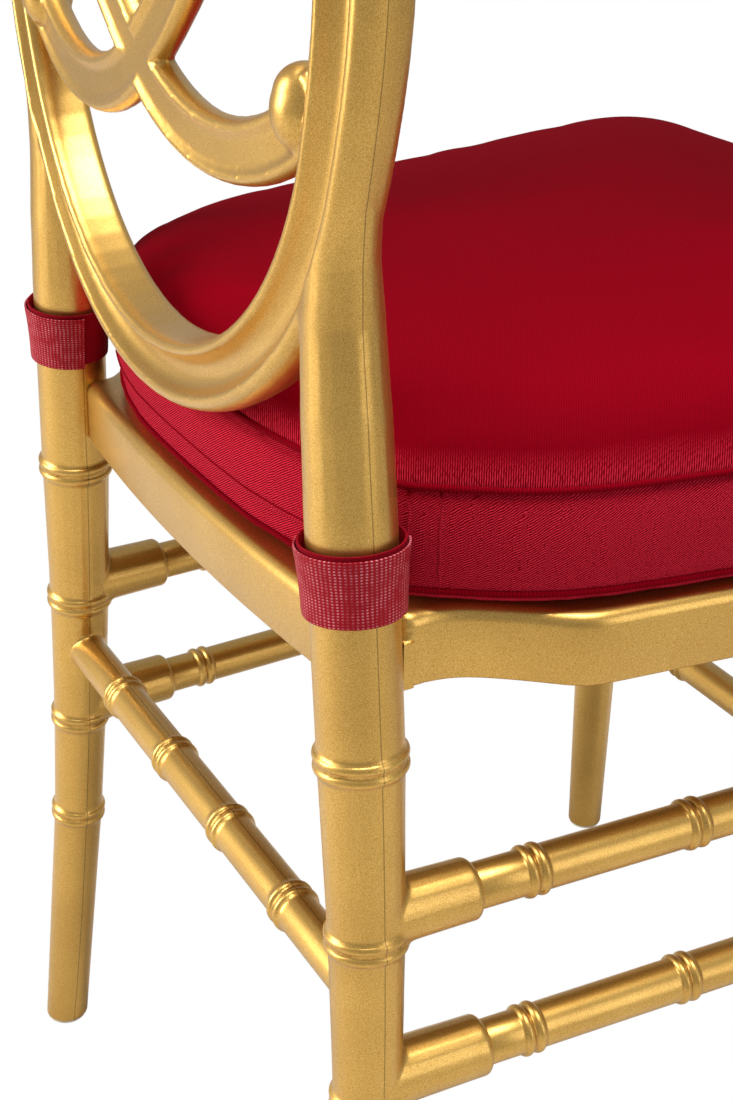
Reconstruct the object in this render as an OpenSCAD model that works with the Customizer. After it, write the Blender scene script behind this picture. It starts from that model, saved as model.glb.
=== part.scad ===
/* [Frame of the chair] */
// Height of the seat deck's top face over the floor
deck_z = 431; // [420:1:445]
// Distance of the rear leg axes behind the middle of the part
back_y = 180.6; // [170:0.1:195]
// Side clearance of a tenon in its socket
tenon_clearance = 0.15; // [0.1:0.05:0.3]
// Gap between a shoulder and the face it seats on
seat_clearance = 0.1; // [0.05:0.05:0.3]
// Gap between moulded pieces that are drawn up against each other
joint_clearance = 0.3; // [0.2:0.05:0.5]

/* [Rear legs] */
// Distance of each rear leg axis from the middle at the floor
rear_foot_x = 190.5; // [180:0.5:200]
// Inward lean of each rear leg over its height, as a slope
rear_lean = 0.0853; // [0.07:0.001:0.095]
// How far the rear foot sweeps back
sabre = 20.6; // [10:0.1:26]
// Height at which the sweep starts
sabre_top_z = 380; // [360:1:400]
// Diameter of a rear leg from the seat to the shoulder
rear_leg_d = 34.4; // [32:0.1:36]
// Diameter of a rear leg at the floor
rear_foot_d = 24.6; // [22:0.1:27]
// Heights of the four bead rings of a leg
ring_z = [156.4, 222.5, 299.9, 380];

/* [Bead rings] */
// Radius of one bead of a leg ring
leg_bead_r = 2.5; // [2:0.1:3]
// How far a leg bead stands out of the tube
leg_bead_rise = 1.8; // [1.2:0.1:2.2]
// Distance between the two beads of a leg ring
leg_bead_pitch = 5.2; // [4.8:0.1:6]
// Radius of one bead of a rung ring
rung_bead_r = 2.4; // [2:0.1:3]
// How far a rung bead stands out of the rung
rung_bead_rise = 1.5; // [1:0.1:2]
// Distance between the two beads of a rung ring
rung_bead_pitch = 5.6; // [5:0.1:6.5]

/* [Back ring and scrolls] */
// Height of the middle of the oval ring
ring_mid_z = 695; // [680:1:710]
// Half width of the oval at the outer edge of its channel
oval_a = 169; // [166:0.5:174]
// Half height of the oval at the outer edge of its channel
oval_b = 207.6; // [200:0.2:214]
// Radius of the oval's lower and upper arcs
oval_end_r = 162; // [156:0.5:164]
// Width of the channel floor of the ring
ring_channel_w = 11.7; // [9:0.1:13]
// Width of the ring inside its channel
ring_inner_w = 7.3; // [6:0.1:9]
// Width of the ring outside its channel, to the parting edge
ring_outer_w = 10.3; // [9:0.1:12]
// Depth of the ring behind its parting surface
ring_rear_h = 9.6; // [8:0.1:11]
// Depth of the ring before its parting surface
ring_front_h = 13; // [10:0.1:14]
// Depth of the channels of the ring
ring_channel_d = 5.6; // [4:0.1:6]
// Distance of the scroll's centre from the middle
scroll_x = 66; // [62:0.5:70]
// Height of the scroll's centre
scroll_z = 708.5; // [702:0.5:714]
// Radius of the scroll's centreline
scroll_r = 112.6; // [109:0.1:116]
// Angle at which the scroll's lower end reaches the ring
scroll_end_angle = 224; // [222:1:228]
// Radius of the loop's sides just over the crossing
loop_low_r = 420; // [360:5:480]
// Angle over which the loop's sides keep that radius
loop_low_angle = 9; // [6:0.5:11]
// Radius of the loop's lower bends
loop_bend_r = 85; // [78:1:92]
// Radius of the loop's top
loop_top_r = 60; // [54:1:66]
// Distance of the loop's top inside the channel of the ring
loop_top_inset = 9; // [6:0.5:11]
// Width of a band over its parting edges
band_w = 25.2; // [23:0.2:28]
// Width of the channel floor of a band
band_channel_w = 10.6; // [9:0.2:12]
// Depth of a band behind its parting surface
band_rear_h = 6.2; // [5:0.1:8]
// Depth of a band before its parting surface
band_front_h = 6.6; // [5:0.1:9]
// Depth of the channels of a band
band_channel_d = 2.2; // [1.6:0.1:3]
// Radius of the ball near the end of a scroll
ball_r = 11; // [10:0.5:13]
// Angle of the ball on its scroll
ball_angle = 231.8; // [230:0.2:235]
// Distance of the ball's centre inside the scroll's centreline
ball_in = 8.4; // [6:0.2:10]
// Distance of the ball's centre behind the parting surface
ball_rear_y = 0.8; // [0.4:0.1:2]
// How far the middle of the back lies behind the rear leg axes
back_bow = 10; // [6:0.5:12]
// Angle by which each half of the back turns forward from the middle
half_turn = 2.9; // [1:0.1:4]
// Backward rake of the back
rake = 1; // [0:0.1:3]

/* [Rungs] */
// Height of the upper side rungs
side_rung_upper_z = 307.7; // [300:0.1:315]
// Height of the lower side rungs
side_rung_lower_z = 230; // [222:0.5:240]
// Height of the back rung
back_rung_z = 269.7; // [262:0.1:276]
// Height of the upper front rung
front_rung_upper_z = 269.7; // [262:0.1:276]
// Height of the lower front rung
front_rung_lower_z = 192; // [186:0.5:200]
// Diameter of a rung
rung_d = 19.6; // [18:0.1:21]
// Diameter of the tenon at each end of a rung
tenon_d = 14; // [12:0.1:15]
// Length of a rung's tenon
tenon_l = 22; // [16:0.5:24]
// Distance of a side rung's outer rings from the leg axes
side_ring_outer = 75; // [70:0.5:85]
// Distance of a side rung's inner rings from the leg axes
side_ring_inner = 154; // [145:0.5:158]
// Distance of the inner rings of the cross rungs from the middle
cross_ring_inner = 33; // [28:0.5:38]
// Distance of the outer rings of the cross rungs from the middle
cross_ring_outer = 99; // [90:0.5:108]

/* [Rung collars] */
// Diameter of a collar at the leg
collar_root_d = 28; // [26:0.1:29]
// Diameter of a collar at its mouth
collar_d = 26.4; // [24:0.1:27]
// Reach of the upper rear collars from the leg axis
collar_upper_l = 47.8; // [44:0.2:52]
// Reach of the lower rear collars from the leg axis
collar_lower_l = 53.6; // [48:0.2:56]
// Reach of the front legs' collars from the leg axis
collar_front_l = 42; // [40:0.5:48]
// Bevel at the mouth of a collar
collar_bevel = 2; // [1:0.1:3]

/* [Front legs] */
// Distance of each front leg axis from the middle at the floor
front_foot_x = 212; // [204:0.5:218]
// Distance of the front feet before the rear leg axes
front_foot_y = 380; // [372:0.5:388]
// Inward lean of each front leg, as a slope
front_lean_x = 0.1; // [0.085:0.001:0.11]
// Rearward lean of each front leg, as a slope
front_lean_y = 0.07; // [0.05:0.001:0.08]
// Diameter of a front leg under the seat
front_leg_d = 34; // [32:0.1:35]
// Diameter of a front leg at the floor
front_foot_d = 22.8; // [21:0.1:25]
// Distance from the deck's top face down to a front leg's shoulder, along the leg
front_leg_drop = 33.199; // [31:0.001:36]
// Diameter of a front leg's top tenon
top_tenon_d = 27; // [24:0.1:28]
// Length of a front leg's top tenon
top_tenon_l = 15; // [12:0.5:16]

/* [Seat frame] */
// Height of the seat frame from its lower edge to the deck's top face
apron_h = 31; // [30:0.5:34]
// Thickness of the apron
apron_t = 3.6; // [3:0.1:5]
// Thickness of the deck
deck_t = 4; // [3:0.1:5]
// Distance of the rear edge's middle behind the rear leg axes
seat_rear_y = 5.5; // [3:0.1:7]
// Rearward bow of the rear edge
seat_rear_bow = 7.3; // [5:0.1:9]
// Half width of the seat frame beside the rear legs
seat_neck_x = 151.5; // [149:0.1:153]
// Half width of the seat frame at the kink of its side
seat_kink_x = 184; // [180:0.5:188]
// Distance of the kink before the rear leg axes
seat_kink_y = 85; // [80:0.5:90]
// Half width of the seat frame at its front corners
seat_front_x = 214; // [208:0.5:218]
// Depth of the seat frame before the rear leg axes
seat_depth = 394; // [388:0.5:398]
// Rounding of the deck's top edge
deck_edge_r = 6; // [2:0.5:8]
// Thickness of the ribs under the deck
rib_t = 3; // [2:0.1:4]
// Height of the ribs under the deck
rib_h = 18; // [10:0.5:22]
// Wall round a front leg's socket
socket_wall = 4.5; // [3.5:0.1:6]
// Wall of the seat frame where it grips a rear leg
grip_wall = 6; // [5:0.1:7]

/* [Bolts] */
// Diameter of the bolts' shanks
bolt_d = 6; // [5:0.1:6.5]
// Diameter of the bolts' heads
bolt_head_d = 10; // [9:0.1:11]
// Height of the bolts' heads
bolt_head_h = 4; // [3:0.1:5]
// Diameter of the inserts
insert_d = 9.5; // [8.5:0.1:11]
// Length of the inserts
insert_l = 13; // [9:0.5:14]
// Direction of the seat bolts in plan
seat_bolt_angle = 35; // [30:1:42]
// Heights of the two seat bolts of one side over the apron's lower edge
seat_bolt_z = [7.5, 19.5];

/* [Foot glides] */
// Depth of a glide's plug in the foot
glide_plug_l = 12; // [8:0.5:16]
// Diameter of a glide's plug
glide_plug_d = 10; // [8:0.1:12]
// Thickness of a glide's pad under the foot
glide_pad_t = 1.6; // [1:0.1:3]
// How far a glide's pad stays inside the foot's edge
glide_inset = 1; // [0.5:0.1:2]

/* [Cushion] */
// Height of the lower seam over the deck
cushion_seam_h = 8; // [6:0.5:10]
// Height of the upper seam over the deck
cushion_box_h = 51; // [45:0.5:55]
// Height of the crown over the upper seam
cushion_crown = 36; // [30:0.5:42]
// Height of the roll along the cushion's upper edge
cushion_roll_h = 22; // [18:0.5:28]
// Width of that roll
cushion_roll_w = 28; // [22:0.5:34]
// How much fuller the cushion's top is at the front than at the rear, as a share
cushion_front_rise = 0.38; // [0.2:0.02:0.5]
// Inset of the cushion from the seat frame's edge
cushion_inset = 2.5; // [1:0.1:5]
// Distance of the cushion's rear edge before the rear leg axes
cushion_rear_y = 4.6; // [3.5:0.1:7]
// Outward swell of the boxing between its seams
cushion_swell = 2; // [0:0.1:4]
// How far the side of the cushion draws in between its corners
cushion_draw = 2; // [0:0.1:5]
// Thickness of the cover
cover_t = 1.4; // [1:0.1:2]
// Gap left for the foam in its cover
foam_clearance = 0.4; // [0.3:0.05:1]

/* [Straps] */
// Width of the tapes
strap_w = 27; // [24:0.5:30]
// Thickness of a tape
tape_t = 1.1; // [0.8:0.1:2]
// Height of the straps' middle over the deck
strap_z = 24; // [20:0.5:28]
// How far the upper edge of the straps stands off the leg
strap_flare = 2; // [0:0.1:3]
// How far the inner tape stands over the outer one
strap_inner_rise = 1.6; // [0:0.1:3]
// Gap between a tape and what it wraps
tape_clearance = 0.3; // [0.2:0.05:0.5]

/* [Hidden] */
$fn = 64;

gold = "#c9a254";
crimson = "#8e0a22";
apron_z = deck_z - apron_h;
overlap = 1;
// Turns the seam of a turned form away from the cuts that cross it
seam_turn = 50;
seat_seam_turn = 70;

function rear_x(z) = rear_foot_x - rear_lean * z;
function rear_y(z) = back_y + (z < sabre_top_z ? sabre * pow(1 - z / sabre_top_z, 2) : 0);
function rear_axis(z) = [rear_x(z), rear_y(z), z];
function front_axis(z) = [
    front_foot_x - front_lean_x * z,
    back_y - front_foot_y + front_lean_y * z,
    z
];
// The rear leg swells from the foot to the seat and is straight above it
function rear_d(z) = z > sabre_top_z ? rear_leg_d
    : rear_foot_d + (rear_leg_d - rear_foot_d) * (0.12 * z / sabre_top_z + 0.88 * pow(z / sabre_top_z, 1.7));
function front_d(s) = front_foot_d + (front_leg_d - front_foot_d) * s / front_leg_l;

// A cone that ends under a bead ring stops this far from the ring's middle, inside a disc a little wider
cone_gap = 0.6;
disc_over = 0.35;
// A cone that ends at a bend of the neck stops this far from it, inside a ball a little wider
ball_gap = 1.25;
ball_over = 0.15;

// A tapered round bar from one point to another, shortened at its ends
module taper(from, to, from_d, to_d, from_gap, to_gap) {
    run = to - from;
    length = norm(run);
    translate(from)
        rotate([0, acos(run[2] / length), atan2(run[1], run[0])])
            translate([0, 0, from_gap])
                rotate([0, 0, seam_turn])
                    cylinder(h = length - from_gap - to_gap, d1 = from_d, d2 = to_d);
}

// Turns what lies along +Z so that it runs from a point towards another
module along(from, to) {
    run = to - from;
    translate(from)
        rotate([0, acos(run[2] / norm(run)), atan2(run[1], run[0])])
            children();
}

// Two beads side by side round a tube along Z, centred on the origin
module bead_ring(tube_d, bead_r, rise, pitch) {
    for (side = [-1, 1])
        translate([0, 0, side * pitch / 2])
            rotate_extrude()
                translate([tube_d / 2 + rise - bead_r, 0])
                    circle(r = bead_r, $fn = 24);
}

module leg_ring(tube_d) {
    bead_ring(tube_d, leg_bead_r, leg_bead_rise, leg_bead_pitch);
}

module rung_ring() {
    bead_ring(rung_d, rung_bead_r, rung_bead_rise, rung_bead_pitch);
}

// A collar along +Z from a leg axis, with a bevelled mouth
module collar(reach) {
    cylinder(h = reach - collar_bevel, d1 = collar_root_d, d2 = collar_d);
    translate([0, 0, reach - collar_bevel])
        cylinder(h = collar_bevel, d1 = collar_d, d2 = collar_d - 2 * collar_bevel);
}

module collar_bore(reach) {
    translate([0, 0, reach - tenon_l - 2 * seat_clearance])
        cylinder(h = tenon_l + 2 * seat_clearance + overlap, d = tenon_d + 2 * tenon_clearance);
}

// Side rungs run between these two points of the left legs
function side_from(z) = rear_axis(z);
function side_to(z) = front_axis(z);
function side_collar(z) = z == side_rung_upper_z ? collar_upper_l : collar_lower_l;

// The moulded outline of the ring, from inner to outer edge, over its parting surface at 0
function ring_outline(inner, outer, rear, front) = [
    [inner, rear * 0.45], [inner + 0.6, rear * 0.8], [inner + 1.6, rear * 0.96], [inner + 2.8, rear],
    [outer - 5.2, rear], [outer - 3.7, rear * 0.95], [outer - 2, rear * 0.74], [outer - 0.7, rear * 0.4],
    [outer, 0], [outer - 0.7, -front * 0.36], [outer - 1.8, -front * 0.72], [outer - 3.2, -front * 0.95],
    [outer - 4.8, -front], [inner + 2.8, -front], [inner + 1.2, -front * 0.95], [inner, -front * 0.78]
];
// The moulded outline of a band, drafted both ways from its parting edges
function band_outline(half, rear, front) = [
    [-half, 0], [half * -0.95, rear * 0.45], [half * -0.84, rear * 0.85], [half * -0.73, rear],
    [half * 0.73, rear], [half * 0.84, rear * 0.85], [half * 0.95, rear * 0.45], [half, 0],
    [half * 0.93, -front * 0.35], [half * 0.82, -front * 0.7], [half * 0.62, -front],
    [half * -0.62, -front], [half * -0.82, -front * 0.7], [half * -0.93, -front * 0.35]
];
// The channel that is cut into a face of a band
function channel_outline(inner, outer, face, depth, way) = [
    [inner, way * (face - depth)], [outer, way * (face - depth)],
    [outer + 1, way * (face - depth * 0.72)], [outer + 2.6, way * (face - depth * 0.1)],
    [outer + 3.4, way * (face + overlap)], [inner - 3.4, way * (face + overlap)],
    [inner - 2.6, way * (face - depth * 0.1)], [inner - 1, way * (face - depth * 0.72)]
];

// Sweeps a section round a centre in the plane of the back, angles from +X towards +Z
module sweep(centre, radius, start, angle, outline) {
    translate([centre[0], 0, centre[1]])
        rotate([90, 0, 0])
            rotate_extrude(angle = angle, start = start, $fn = 180)
                translate([radius, 0])
                    mirror([0, 1])
                        polygon(outline);
}

oval_side_r = (oval_a * oval_a + pow(oval_b - oval_end_r, 2) - oval_end_r * oval_end_r)
    / (2 * (oval_a - oval_end_r));
oval_tangent = atan((oval_b - oval_end_r) / (oval_side_r - oval_a));
past_middle = 6;
// Every second arc is this much slimmer and runs this far into its neighbours
arc_step = 0.05;
arc_lap = 1.6;
function lap_angle(radius) = arc_lap / radius * 180 / PI;

// One half of the oval, on the -X side, as the arcs that the two sections follow
module oval_half(outline, slim) {
    lap = lap_angle(oval_end_r);
    sweep([0, ring_mid_z - oval_b + oval_end_r], oval_end_r, 180 + oval_tangent - lap,
        90 - oval_tangent + past_middle + lap, slim);
    sweep([oval_side_r - oval_a, ring_mid_z], oval_side_r, 180 - oval_tangent, 2 * oval_tangent, outline);
    sweep([0, ring_mid_z + oval_b - oval_end_r], oval_end_r, 90 - past_middle,
        90 - oval_tangent + past_middle + lap, slim);
}

crossing_z = scroll_z - sqrt(scroll_r * scroll_r - scroll_x * scroll_x);
crossing_slope = asin(scroll_x / scroll_r);
// Arcs of the loop's -X side as [centre x, centre z, radius, angle at its lower end, angle at its upper end]
loop_a = 270 - crossing_slope;
loop_b = loop_a - loop_low_angle;
loop_low = [loop_low_r * sin(crossing_slope), crossing_z + loop_low_r * cos(crossing_slope)];
loop_bend = loop_low + (loop_low_r - loop_bend_r) * [cos(loop_b), sin(loop_b)];
loop_half_w = loop_bend_r - loop_bend[0];
loop_top_z = ring_mid_z + oval_b - loop_top_inset;
loop_rise = loop_top_z - loop_top_r - loop_bend[1];
loop_side_r = (loop_half_w * loop_half_w + loop_rise * loop_rise - loop_top_r * loop_top_r)
    / (2 * (loop_half_w - loop_top_r));
loop_c = 180 - asin(loop_rise / (loop_side_r - loop_top_r));
loop_arcs = [
    [loop_low[0], loop_low[1], loop_low_r, loop_a + 1, loop_b],
    [loop_bend[0], loop_bend[1], loop_bend_r, loop_b, 180],
    [loop_side_r - loop_half_w, loop_bend[1], loop_side_r, 180, loop_c],
    [0, loop_top_z - loop_top_r, loop_top_r, loop_c, 90 - past_middle]
];

// The scroll of the -X side, from the ring to the crossing
module scroll(outline, trim) {
    crossing = 270 + crossing_slope + past_middle;
    from = scroll_end_angle + trim;
    sweep([-scroll_x, scroll_z], scroll_r, from, crossing - from, outline);
}

// The loop over the crossing, on the -X side, up to the crest of the ring
module loop(outline, slim, trim) {
    for (i = [0 : 3]) {
        arc = loop_arcs[i];
        lap = i % 2 == 1 ? lap_angle(arc[2]) : 0;
        end = arc[4] + (i == 3 ? trim : -lap);
        sweep([arc[0], arc[1]], arc[2], end, arc[3] + lap - end, i % 2 == 1 ? slim : outline);
    }
}

function ring_section(less) = ring_outline(-ring_channel_w - ring_inner_w + less, ring_outer_w - less,
    ring_rear_h - less, ring_front_h - less);
function band_section(less) = band_outline(band_w / 2 - less, band_rear_h - less, band_front_h - less);
function groove_section(less) = channel_outline(-band_channel_w / 2 + less, band_channel_w / 2 - less,
    band_rear_h - less, band_channel_d - 2 * less, 1);
function ring_channel(less, way) = channel_outline(-ring_channel_w + less, -less,
    (way > 0 ? ring_rear_h : ring_front_h) - less, ring_channel_d - 2 * less, way);

module back_half_full() {
    oval_half(ring_section(0), ring_section(arc_step));
    scroll(band_section(0), 0);
    loop(band_section(0), band_section(arc_step), 0);
}

module back_half_channels() {
    for (way = [-1, 1])
        oval_half(ring_channel(0, way), ring_channel(arc_step, way));
    scroll(groove_section(0), 6);
    loop(groove_section(0), groove_section(arc_step), 48 + past_middle);
}

module back_ball() {
    r = scroll_r - ball_in;
    translate([r * cos(ball_angle) - scroll_x, ball_rear_y, scroll_z + r * sin(ball_angle)])
        rotate([90, 0, 0])
            sphere(r = ball_r);
}

// Half of the back, cut at the middle plane
module back_half() {
    intersection() {
        rotate([0, 0, half_turn])
            union() {
                difference() {
                    back_half_full();
                    back_half_channels();
                }
                back_ball();
            }
        translate([-2 * oval_a, -oval_a, 0])
            cube([2 * oval_a, 2 * oval_a, 3 * oval_b + ring_mid_z]);
    }
}

module back() {
    low_z = ring_mid_z - oval_b;
    translate([0, back_y + back_bow, low_z])
        rotate([-rake, 0, 0])
            translate([0, 0, -low_z]) {
                back_half();
                mirror([1, 0, 0]) back_half();
            }
}

// Stations of the neck over the leg's straight part, where it turns into the side of the ring
neck_z = 552;
neck = [
    [rear_x(neck_z), back_y, neck_z, rear_leg_d - 4.2],
    [rear_x(576) + 4.6, back_y + 1.2, 576, rear_leg_d - 8],
    [oval_a - 18, back_y + 1.8, 602, rear_leg_d - 9.6],
    [oval_a - 11, back_y + 2.5, 640, rear_leg_d - 14]
];

// The straight part of the leg over its highest bead ring, as one turned form
module straight_leg() {
    from = ring_z[3];
    rise = norm([rear_lean, 0, 1]);
    along(rear_axis(from), rear_axis(from + 100))
        rotate_extrude()
            polygon([
                [0, cone_gap], [rear_leg_d / 2, cone_gap], [rear_leg_d / 2, (480 - from) * rise],
                [rear_leg_d / 2 - 0.7, (516 - from) * rise],
                [rear_leg_d / 2 - 2.1, (neck_z - from) * rise - ball_gap],
                [0, (neck_z - from) * rise - ball_gap]
            ]);
}

module rear_leg() {
    stations = concat([0], ring_z);
    for (i = [0 : 3])
        taper(rear_axis(stations[i]), rear_axis(stations[i + 1]),
            rear_d(stations[i]), rear_d(stations[i + 1]), i == 0 ? 0 : cone_gap, cone_gap);
    straight_leg();
    for (i = [0 : 2]) {
        translate([neck[i][0], neck[i][1], neck[i][2]])
            sphere(r = neck[i][3] / 2 + ball_over);
        taper([neck[i][0], neck[i][1], neck[i][2]], [neck[i + 1][0], neck[i + 1][1], neck[i + 1][2]],
            neck[i][3], neck[i + 1][3], ball_gap, i == 2 ? 0 : ball_gap);
    }
    for (z = ring_z)
        along(rear_axis(z), rear_axis(z + 10)) {
            leg_ring(rear_d(z));
            cylinder(h = leg_bead_pitch, d = rear_d(z) + 2 * disc_over, center = true);
        }
    for (z = [side_rung_upper_z, side_rung_lower_z])
        along(side_from(z), side_to(z))
            collar(side_collar(z));
}

// Bores of the left rear leg: rung sockets, seat bolt inserts and the glide's plug
module rear_leg_bores() {
    for (z = [side_rung_upper_z, side_rung_lower_z])
        along(side_from(z), side_to(z))
            collar_bore(side_collar(z));
    for (z = seat_bolt_z)
        at_seat_bolt(apron_z + z)
            translate([0, 0, insert_start])
                cylinder(h = insert_l + insert_recess + overlap, d = insert_d);
    glide_bore(rear_axis(0), rear_foot_d);
    below_floor(rear_axis(0));
}

module glide_bore(foot, foot_d) {
    translate([foot[0], foot[1], 0])
        cylinder(h = glide_pad_t + glide_plug_l + seat_clearance, d = glide_plug_d + 2 * tenon_clearance);
}

// Everything below the pad of a glide is cut off level
module below_floor(foot) {
    translate([foot[0] - 30, foot[1] - 30, -20])
        cube([60, 60, 20 + glide_pad_t]);
}

module bored_leg() {
    difference() {
        rear_leg();
        rear_leg_bores();
    }
}

module back_frame() color(gold) {
    back();
    for (side = [0, 1])
        mirror([side, 0, 0])
            bored_leg();
    back_rung();
}

module back_rung() {
    translate([0, rear_y(back_rung_z), back_rung_z])
        rotate([0, 90, 0]) {
            cylinder(h = 2 * rear_x(back_rung_z), d = rung_d, center = true);
            for (x = [-cross_ring_outer, -cross_ring_inner, cross_ring_inner, cross_ring_outer])
                translate([0, 0, x])
                    rung_ring();
        }
}

front_slope = norm([front_lean_x, front_lean_y, 1]);
front_leg_l = deck_z * front_slope - front_leg_drop;
function front_s(z) = z * front_slope;

// The frame of a front leg: the origin at the floor and +Z along the leg
module on_front_leg(side) {
    mirror([side < 0 ? 1 : 0, 0, 0])
        along(front_axis(0), front_axis(100))
            children();
}

module front_leg(side) color(gold) {
    mirror([side < 0 ? 1 : 0, 0, 0])
        difference() {
            union() {
                on_front_leg(1) {
                    rotate([0, 0, seam_turn])
                        cylinder(h = front_leg_l, d1 = front_foot_d, d2 = front_leg_d);
                    translate([0, 0, front_leg_l - overlap])
                        cylinder(h = top_tenon_l + overlap, d = top_tenon_d);
                    for (z = ring_z)
                        translate([0, 0, front_s(z)])
                            leg_ring(front_d(front_s(z)));
                }
                front_collars();
            }
            on_front_leg(1)
                translate([0, 0, front_leg_l + top_tenon_l - insert_l - seat_clearance])
                    cylinder(h = insert_l + overlap, d = insert_d);
            front_collar_bores();
            glide_bore(front_axis(0), front_foot_d);
            below_floor(front_axis(0));
        }
}

module front_collars() {
    for (z = [side_rung_upper_z, side_rung_lower_z])
        along(side_to(z), side_from(z))
            collar(collar_front_l);
    for (z = [front_rung_upper_z, front_rung_lower_z])
        translate(front_axis(z))
            rotate([0, -90, 0])
                collar(collar_front_l);
}

module front_collar_bores() {
    for (z = [side_rung_upper_z, side_rung_lower_z])
        along(side_to(z), side_from(z))
            collar_bore(collar_front_l);
    for (z = [front_rung_upper_z, front_rung_lower_z])
        translate(front_axis(z))
            rotate([0, -90, 0])
                collar_bore(collar_front_l);
}

// A rung along +Z whose ends sit on collars at two distances, with rings at the given distances
module rung(start, end, rings) {
    translate([0, 0, start + seat_clearance])
        cylinder(h = end - start - 2 * seat_clearance, d = rung_d);
    translate([0, 0, start + seat_clearance - tenon_l])
        cylinder(h = end - start - 2 * seat_clearance + 2 * tenon_l, d = tenon_d);
    for (s = rings)
        translate([0, 0, s])
            rung_ring();
}

module side_rung(side, z) color(gold) {
    length = norm(side_to(z) - side_from(z));
    mirror([side < 0 ? 1 : 0, 0, 0])
        along(side_from(z), side_to(z))
            rung(side_collar(z), length - collar_front_l,
                [side_ring_outer, side_ring_inner, length - side_ring_inner, length - side_ring_outer]);
}

module front_rung(z) color(gold) {
    axis = front_axis(z);
    translate([0, axis[1], z])
        rotate([0, 90, 0])
            translate([0, 0, -axis[0]])
                rung(collar_front_l, 2 * axis[0] - collar_front_l,
                    [for (x = [-cross_ring_outer, -cross_ring_inner, cross_ring_inner, cross_ring_outer])
                        axis[0] + x]);
}

// Left half of a seat outline from the middle of the rear edge to the middle of the front edge
function curve(a, b, c, steps) = [
    for (i = [0 : steps]) let (t = i / steps) a * pow(1 - t, 2) + b * 2 * t * (1 - t) + c * t * t
];
corner_start_y = -seat_depth + 60;
corner_end_x = seat_front_x - 52;
front_bow = 5;
seat_rear_end_x = seat_neck_x - 11;
seat_half = concat(
    [for (i = [0 : 6]) let (x = seat_rear_end_x * i / 6)
        [x, seat_rear_y - seat_rear_bow * pow(x / seat_rear_end_x, 2)]],
    [[seat_neck_x, seat_rear_y - seat_rear_bow - 2]],
    curve([seat_neck_x, -38], [seat_neck_x, -48.4], [seat_kink_x, -seat_kink_y], 12),
    curve([seat_front_x - 1.5, corner_start_y], [seat_front_x + 4, -seat_depth + front_bow],
        [corner_end_x, -seat_depth + front_bow - 1.5], 12),
    [for (i = [1 : 3]) let (x = corner_end_x * (1 - i / 3))
        [x, -seat_depth + (front_bow - 1.5) * pow(x / corner_end_x, 2)]]
);

function whole(half) = concat(half, [for (i = [len(half) - 2 : -1 : 1]) [-half[i][0], half[i][1]]]);
function unit(v) = v / norm(v);
function grown(path, d) = let (n = len(path)) [
    for (i = [0 : n - 1])
        let (t = unit(path[(i + 1) % n] - path[(i + n - 1) % n])) path[i] + d * [-t[1], t[0]]
];

module seat_slab(inset, from, to) {
    translate([0, back_y, from])
        linear_extrude(to - from)
            polygon(grown(whole(seat_half), -inset));
}

module deck_and_apron() {
    difference() {
        union() {
            seat_slab(0, apron_z, deck_z - deck_edge_r);
            seat_slab(deck_edge_r * 0.14, deck_z - deck_edge_r, deck_z - deck_edge_r * 0.5);
            seat_slab(deck_edge_r * 0.5, deck_z - deck_edge_r * 0.5, deck_z - deck_edge_r * 0.14);
            seat_slab(deck_edge_r, deck_z - deck_edge_r * 0.14, deck_z);
        }
        seat_slab(apron_t, apron_z - overlap, deck_z - deck_t);
    }
}

rib_x = [-120, -60, 0, 60, 120];
rib_y = [-90, -165, -240, -315];

module ribs() {
    intersection() {
        union() {
            for (x = rib_x)
                translate([x - rib_t / 2, back_y - seat_depth, deck_z - deck_t - rib_h])
                    cube([rib_t, seat_depth + seat_rear_y, rib_h + overlap]);
            for (y = rib_y)
                translate([-seat_front_x, back_y + y - rib_t / 2, deck_z - deck_t - rib_h])
                    cube([2 * seat_front_x, rib_t, rib_h + overlap]);
        }
        seat_slab(apron_t / 2, apron_z, deck_z - deck_t / 2);
    }
}

socket_d = top_tenon_d + 2 * tenon_clearance;
socket_top = front_leg_l + top_tenon_l + 2 * seat_clearance;

// The pillar under the deck that takes a front leg
module leg_pillar() {
    intersection() {
        on_front_leg(1)
            translate([0, 0, front_leg_l + seat_clearance])
                rotate([0, 0, seat_seam_turn])
                    cylinder(h = 60, d = socket_d + 2 * socket_wall);
        translate([0, -front_foot_y, 0])
            cube([2 * seat_front_x, 2 * front_foot_y, deck_z - deck_t / 2]);
    }
}

bolt_seat_s = socket_top + 4;

module leg_pillar_bores() {
    on_front_leg(1) {
        translate([0, 0, front_leg_l - 30])
            cylinder(h = socket_top - front_leg_l + 30, d = socket_d);
        translate([0, 0, socket_top - overlap])
            cylinder(h = 60, d = bolt_d + 2 * joint_clearance);
        translate([0, 0, bolt_seat_s])
            rotate([0, 0, seat_seam_turn])
                cylinder(h = 60, d = bolt_head_d + 2 * joint_clearance + 1);
    }
}

// The left rear leg's axis as a line through the seat frame
module at_rear_leg() {
    along(rear_axis(deck_z - 80), rear_axis(deck_z + 80))
        children();
}

// The seat bolts point at the leg's axis at a height, with the origin on the axis
module at_seat_bolt(z) {
    translate([rear_x(z), back_y, z])
        rotate([0, 0, 180 + seat_bolt_angle])
            rotate([0, 90, 0])
                children();
}

grip_r = rear_leg_d / 2 + joint_clearance;
bolt_pad_l = grip_r + grip_wall + 1.5;
insert_recess = 1;
insert_start = rear_leg_d / 2 - insert_l - insert_recess;

module leg_grip() {
    intersection() {
        at_rear_leg()
            cylinder(h = 160, r = grip_r + grip_wall);
        seat_slab(apron_t / 2, apron_z, deck_z - deck_t / 2);
    }
    for (z = seat_bolt_z)
        at_seat_bolt(apron_z + z)
            translate([0, 0, grip_r])
                cylinder(h = bolt_pad_l - grip_r, d = bolt_head_d + 2);
}

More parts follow.
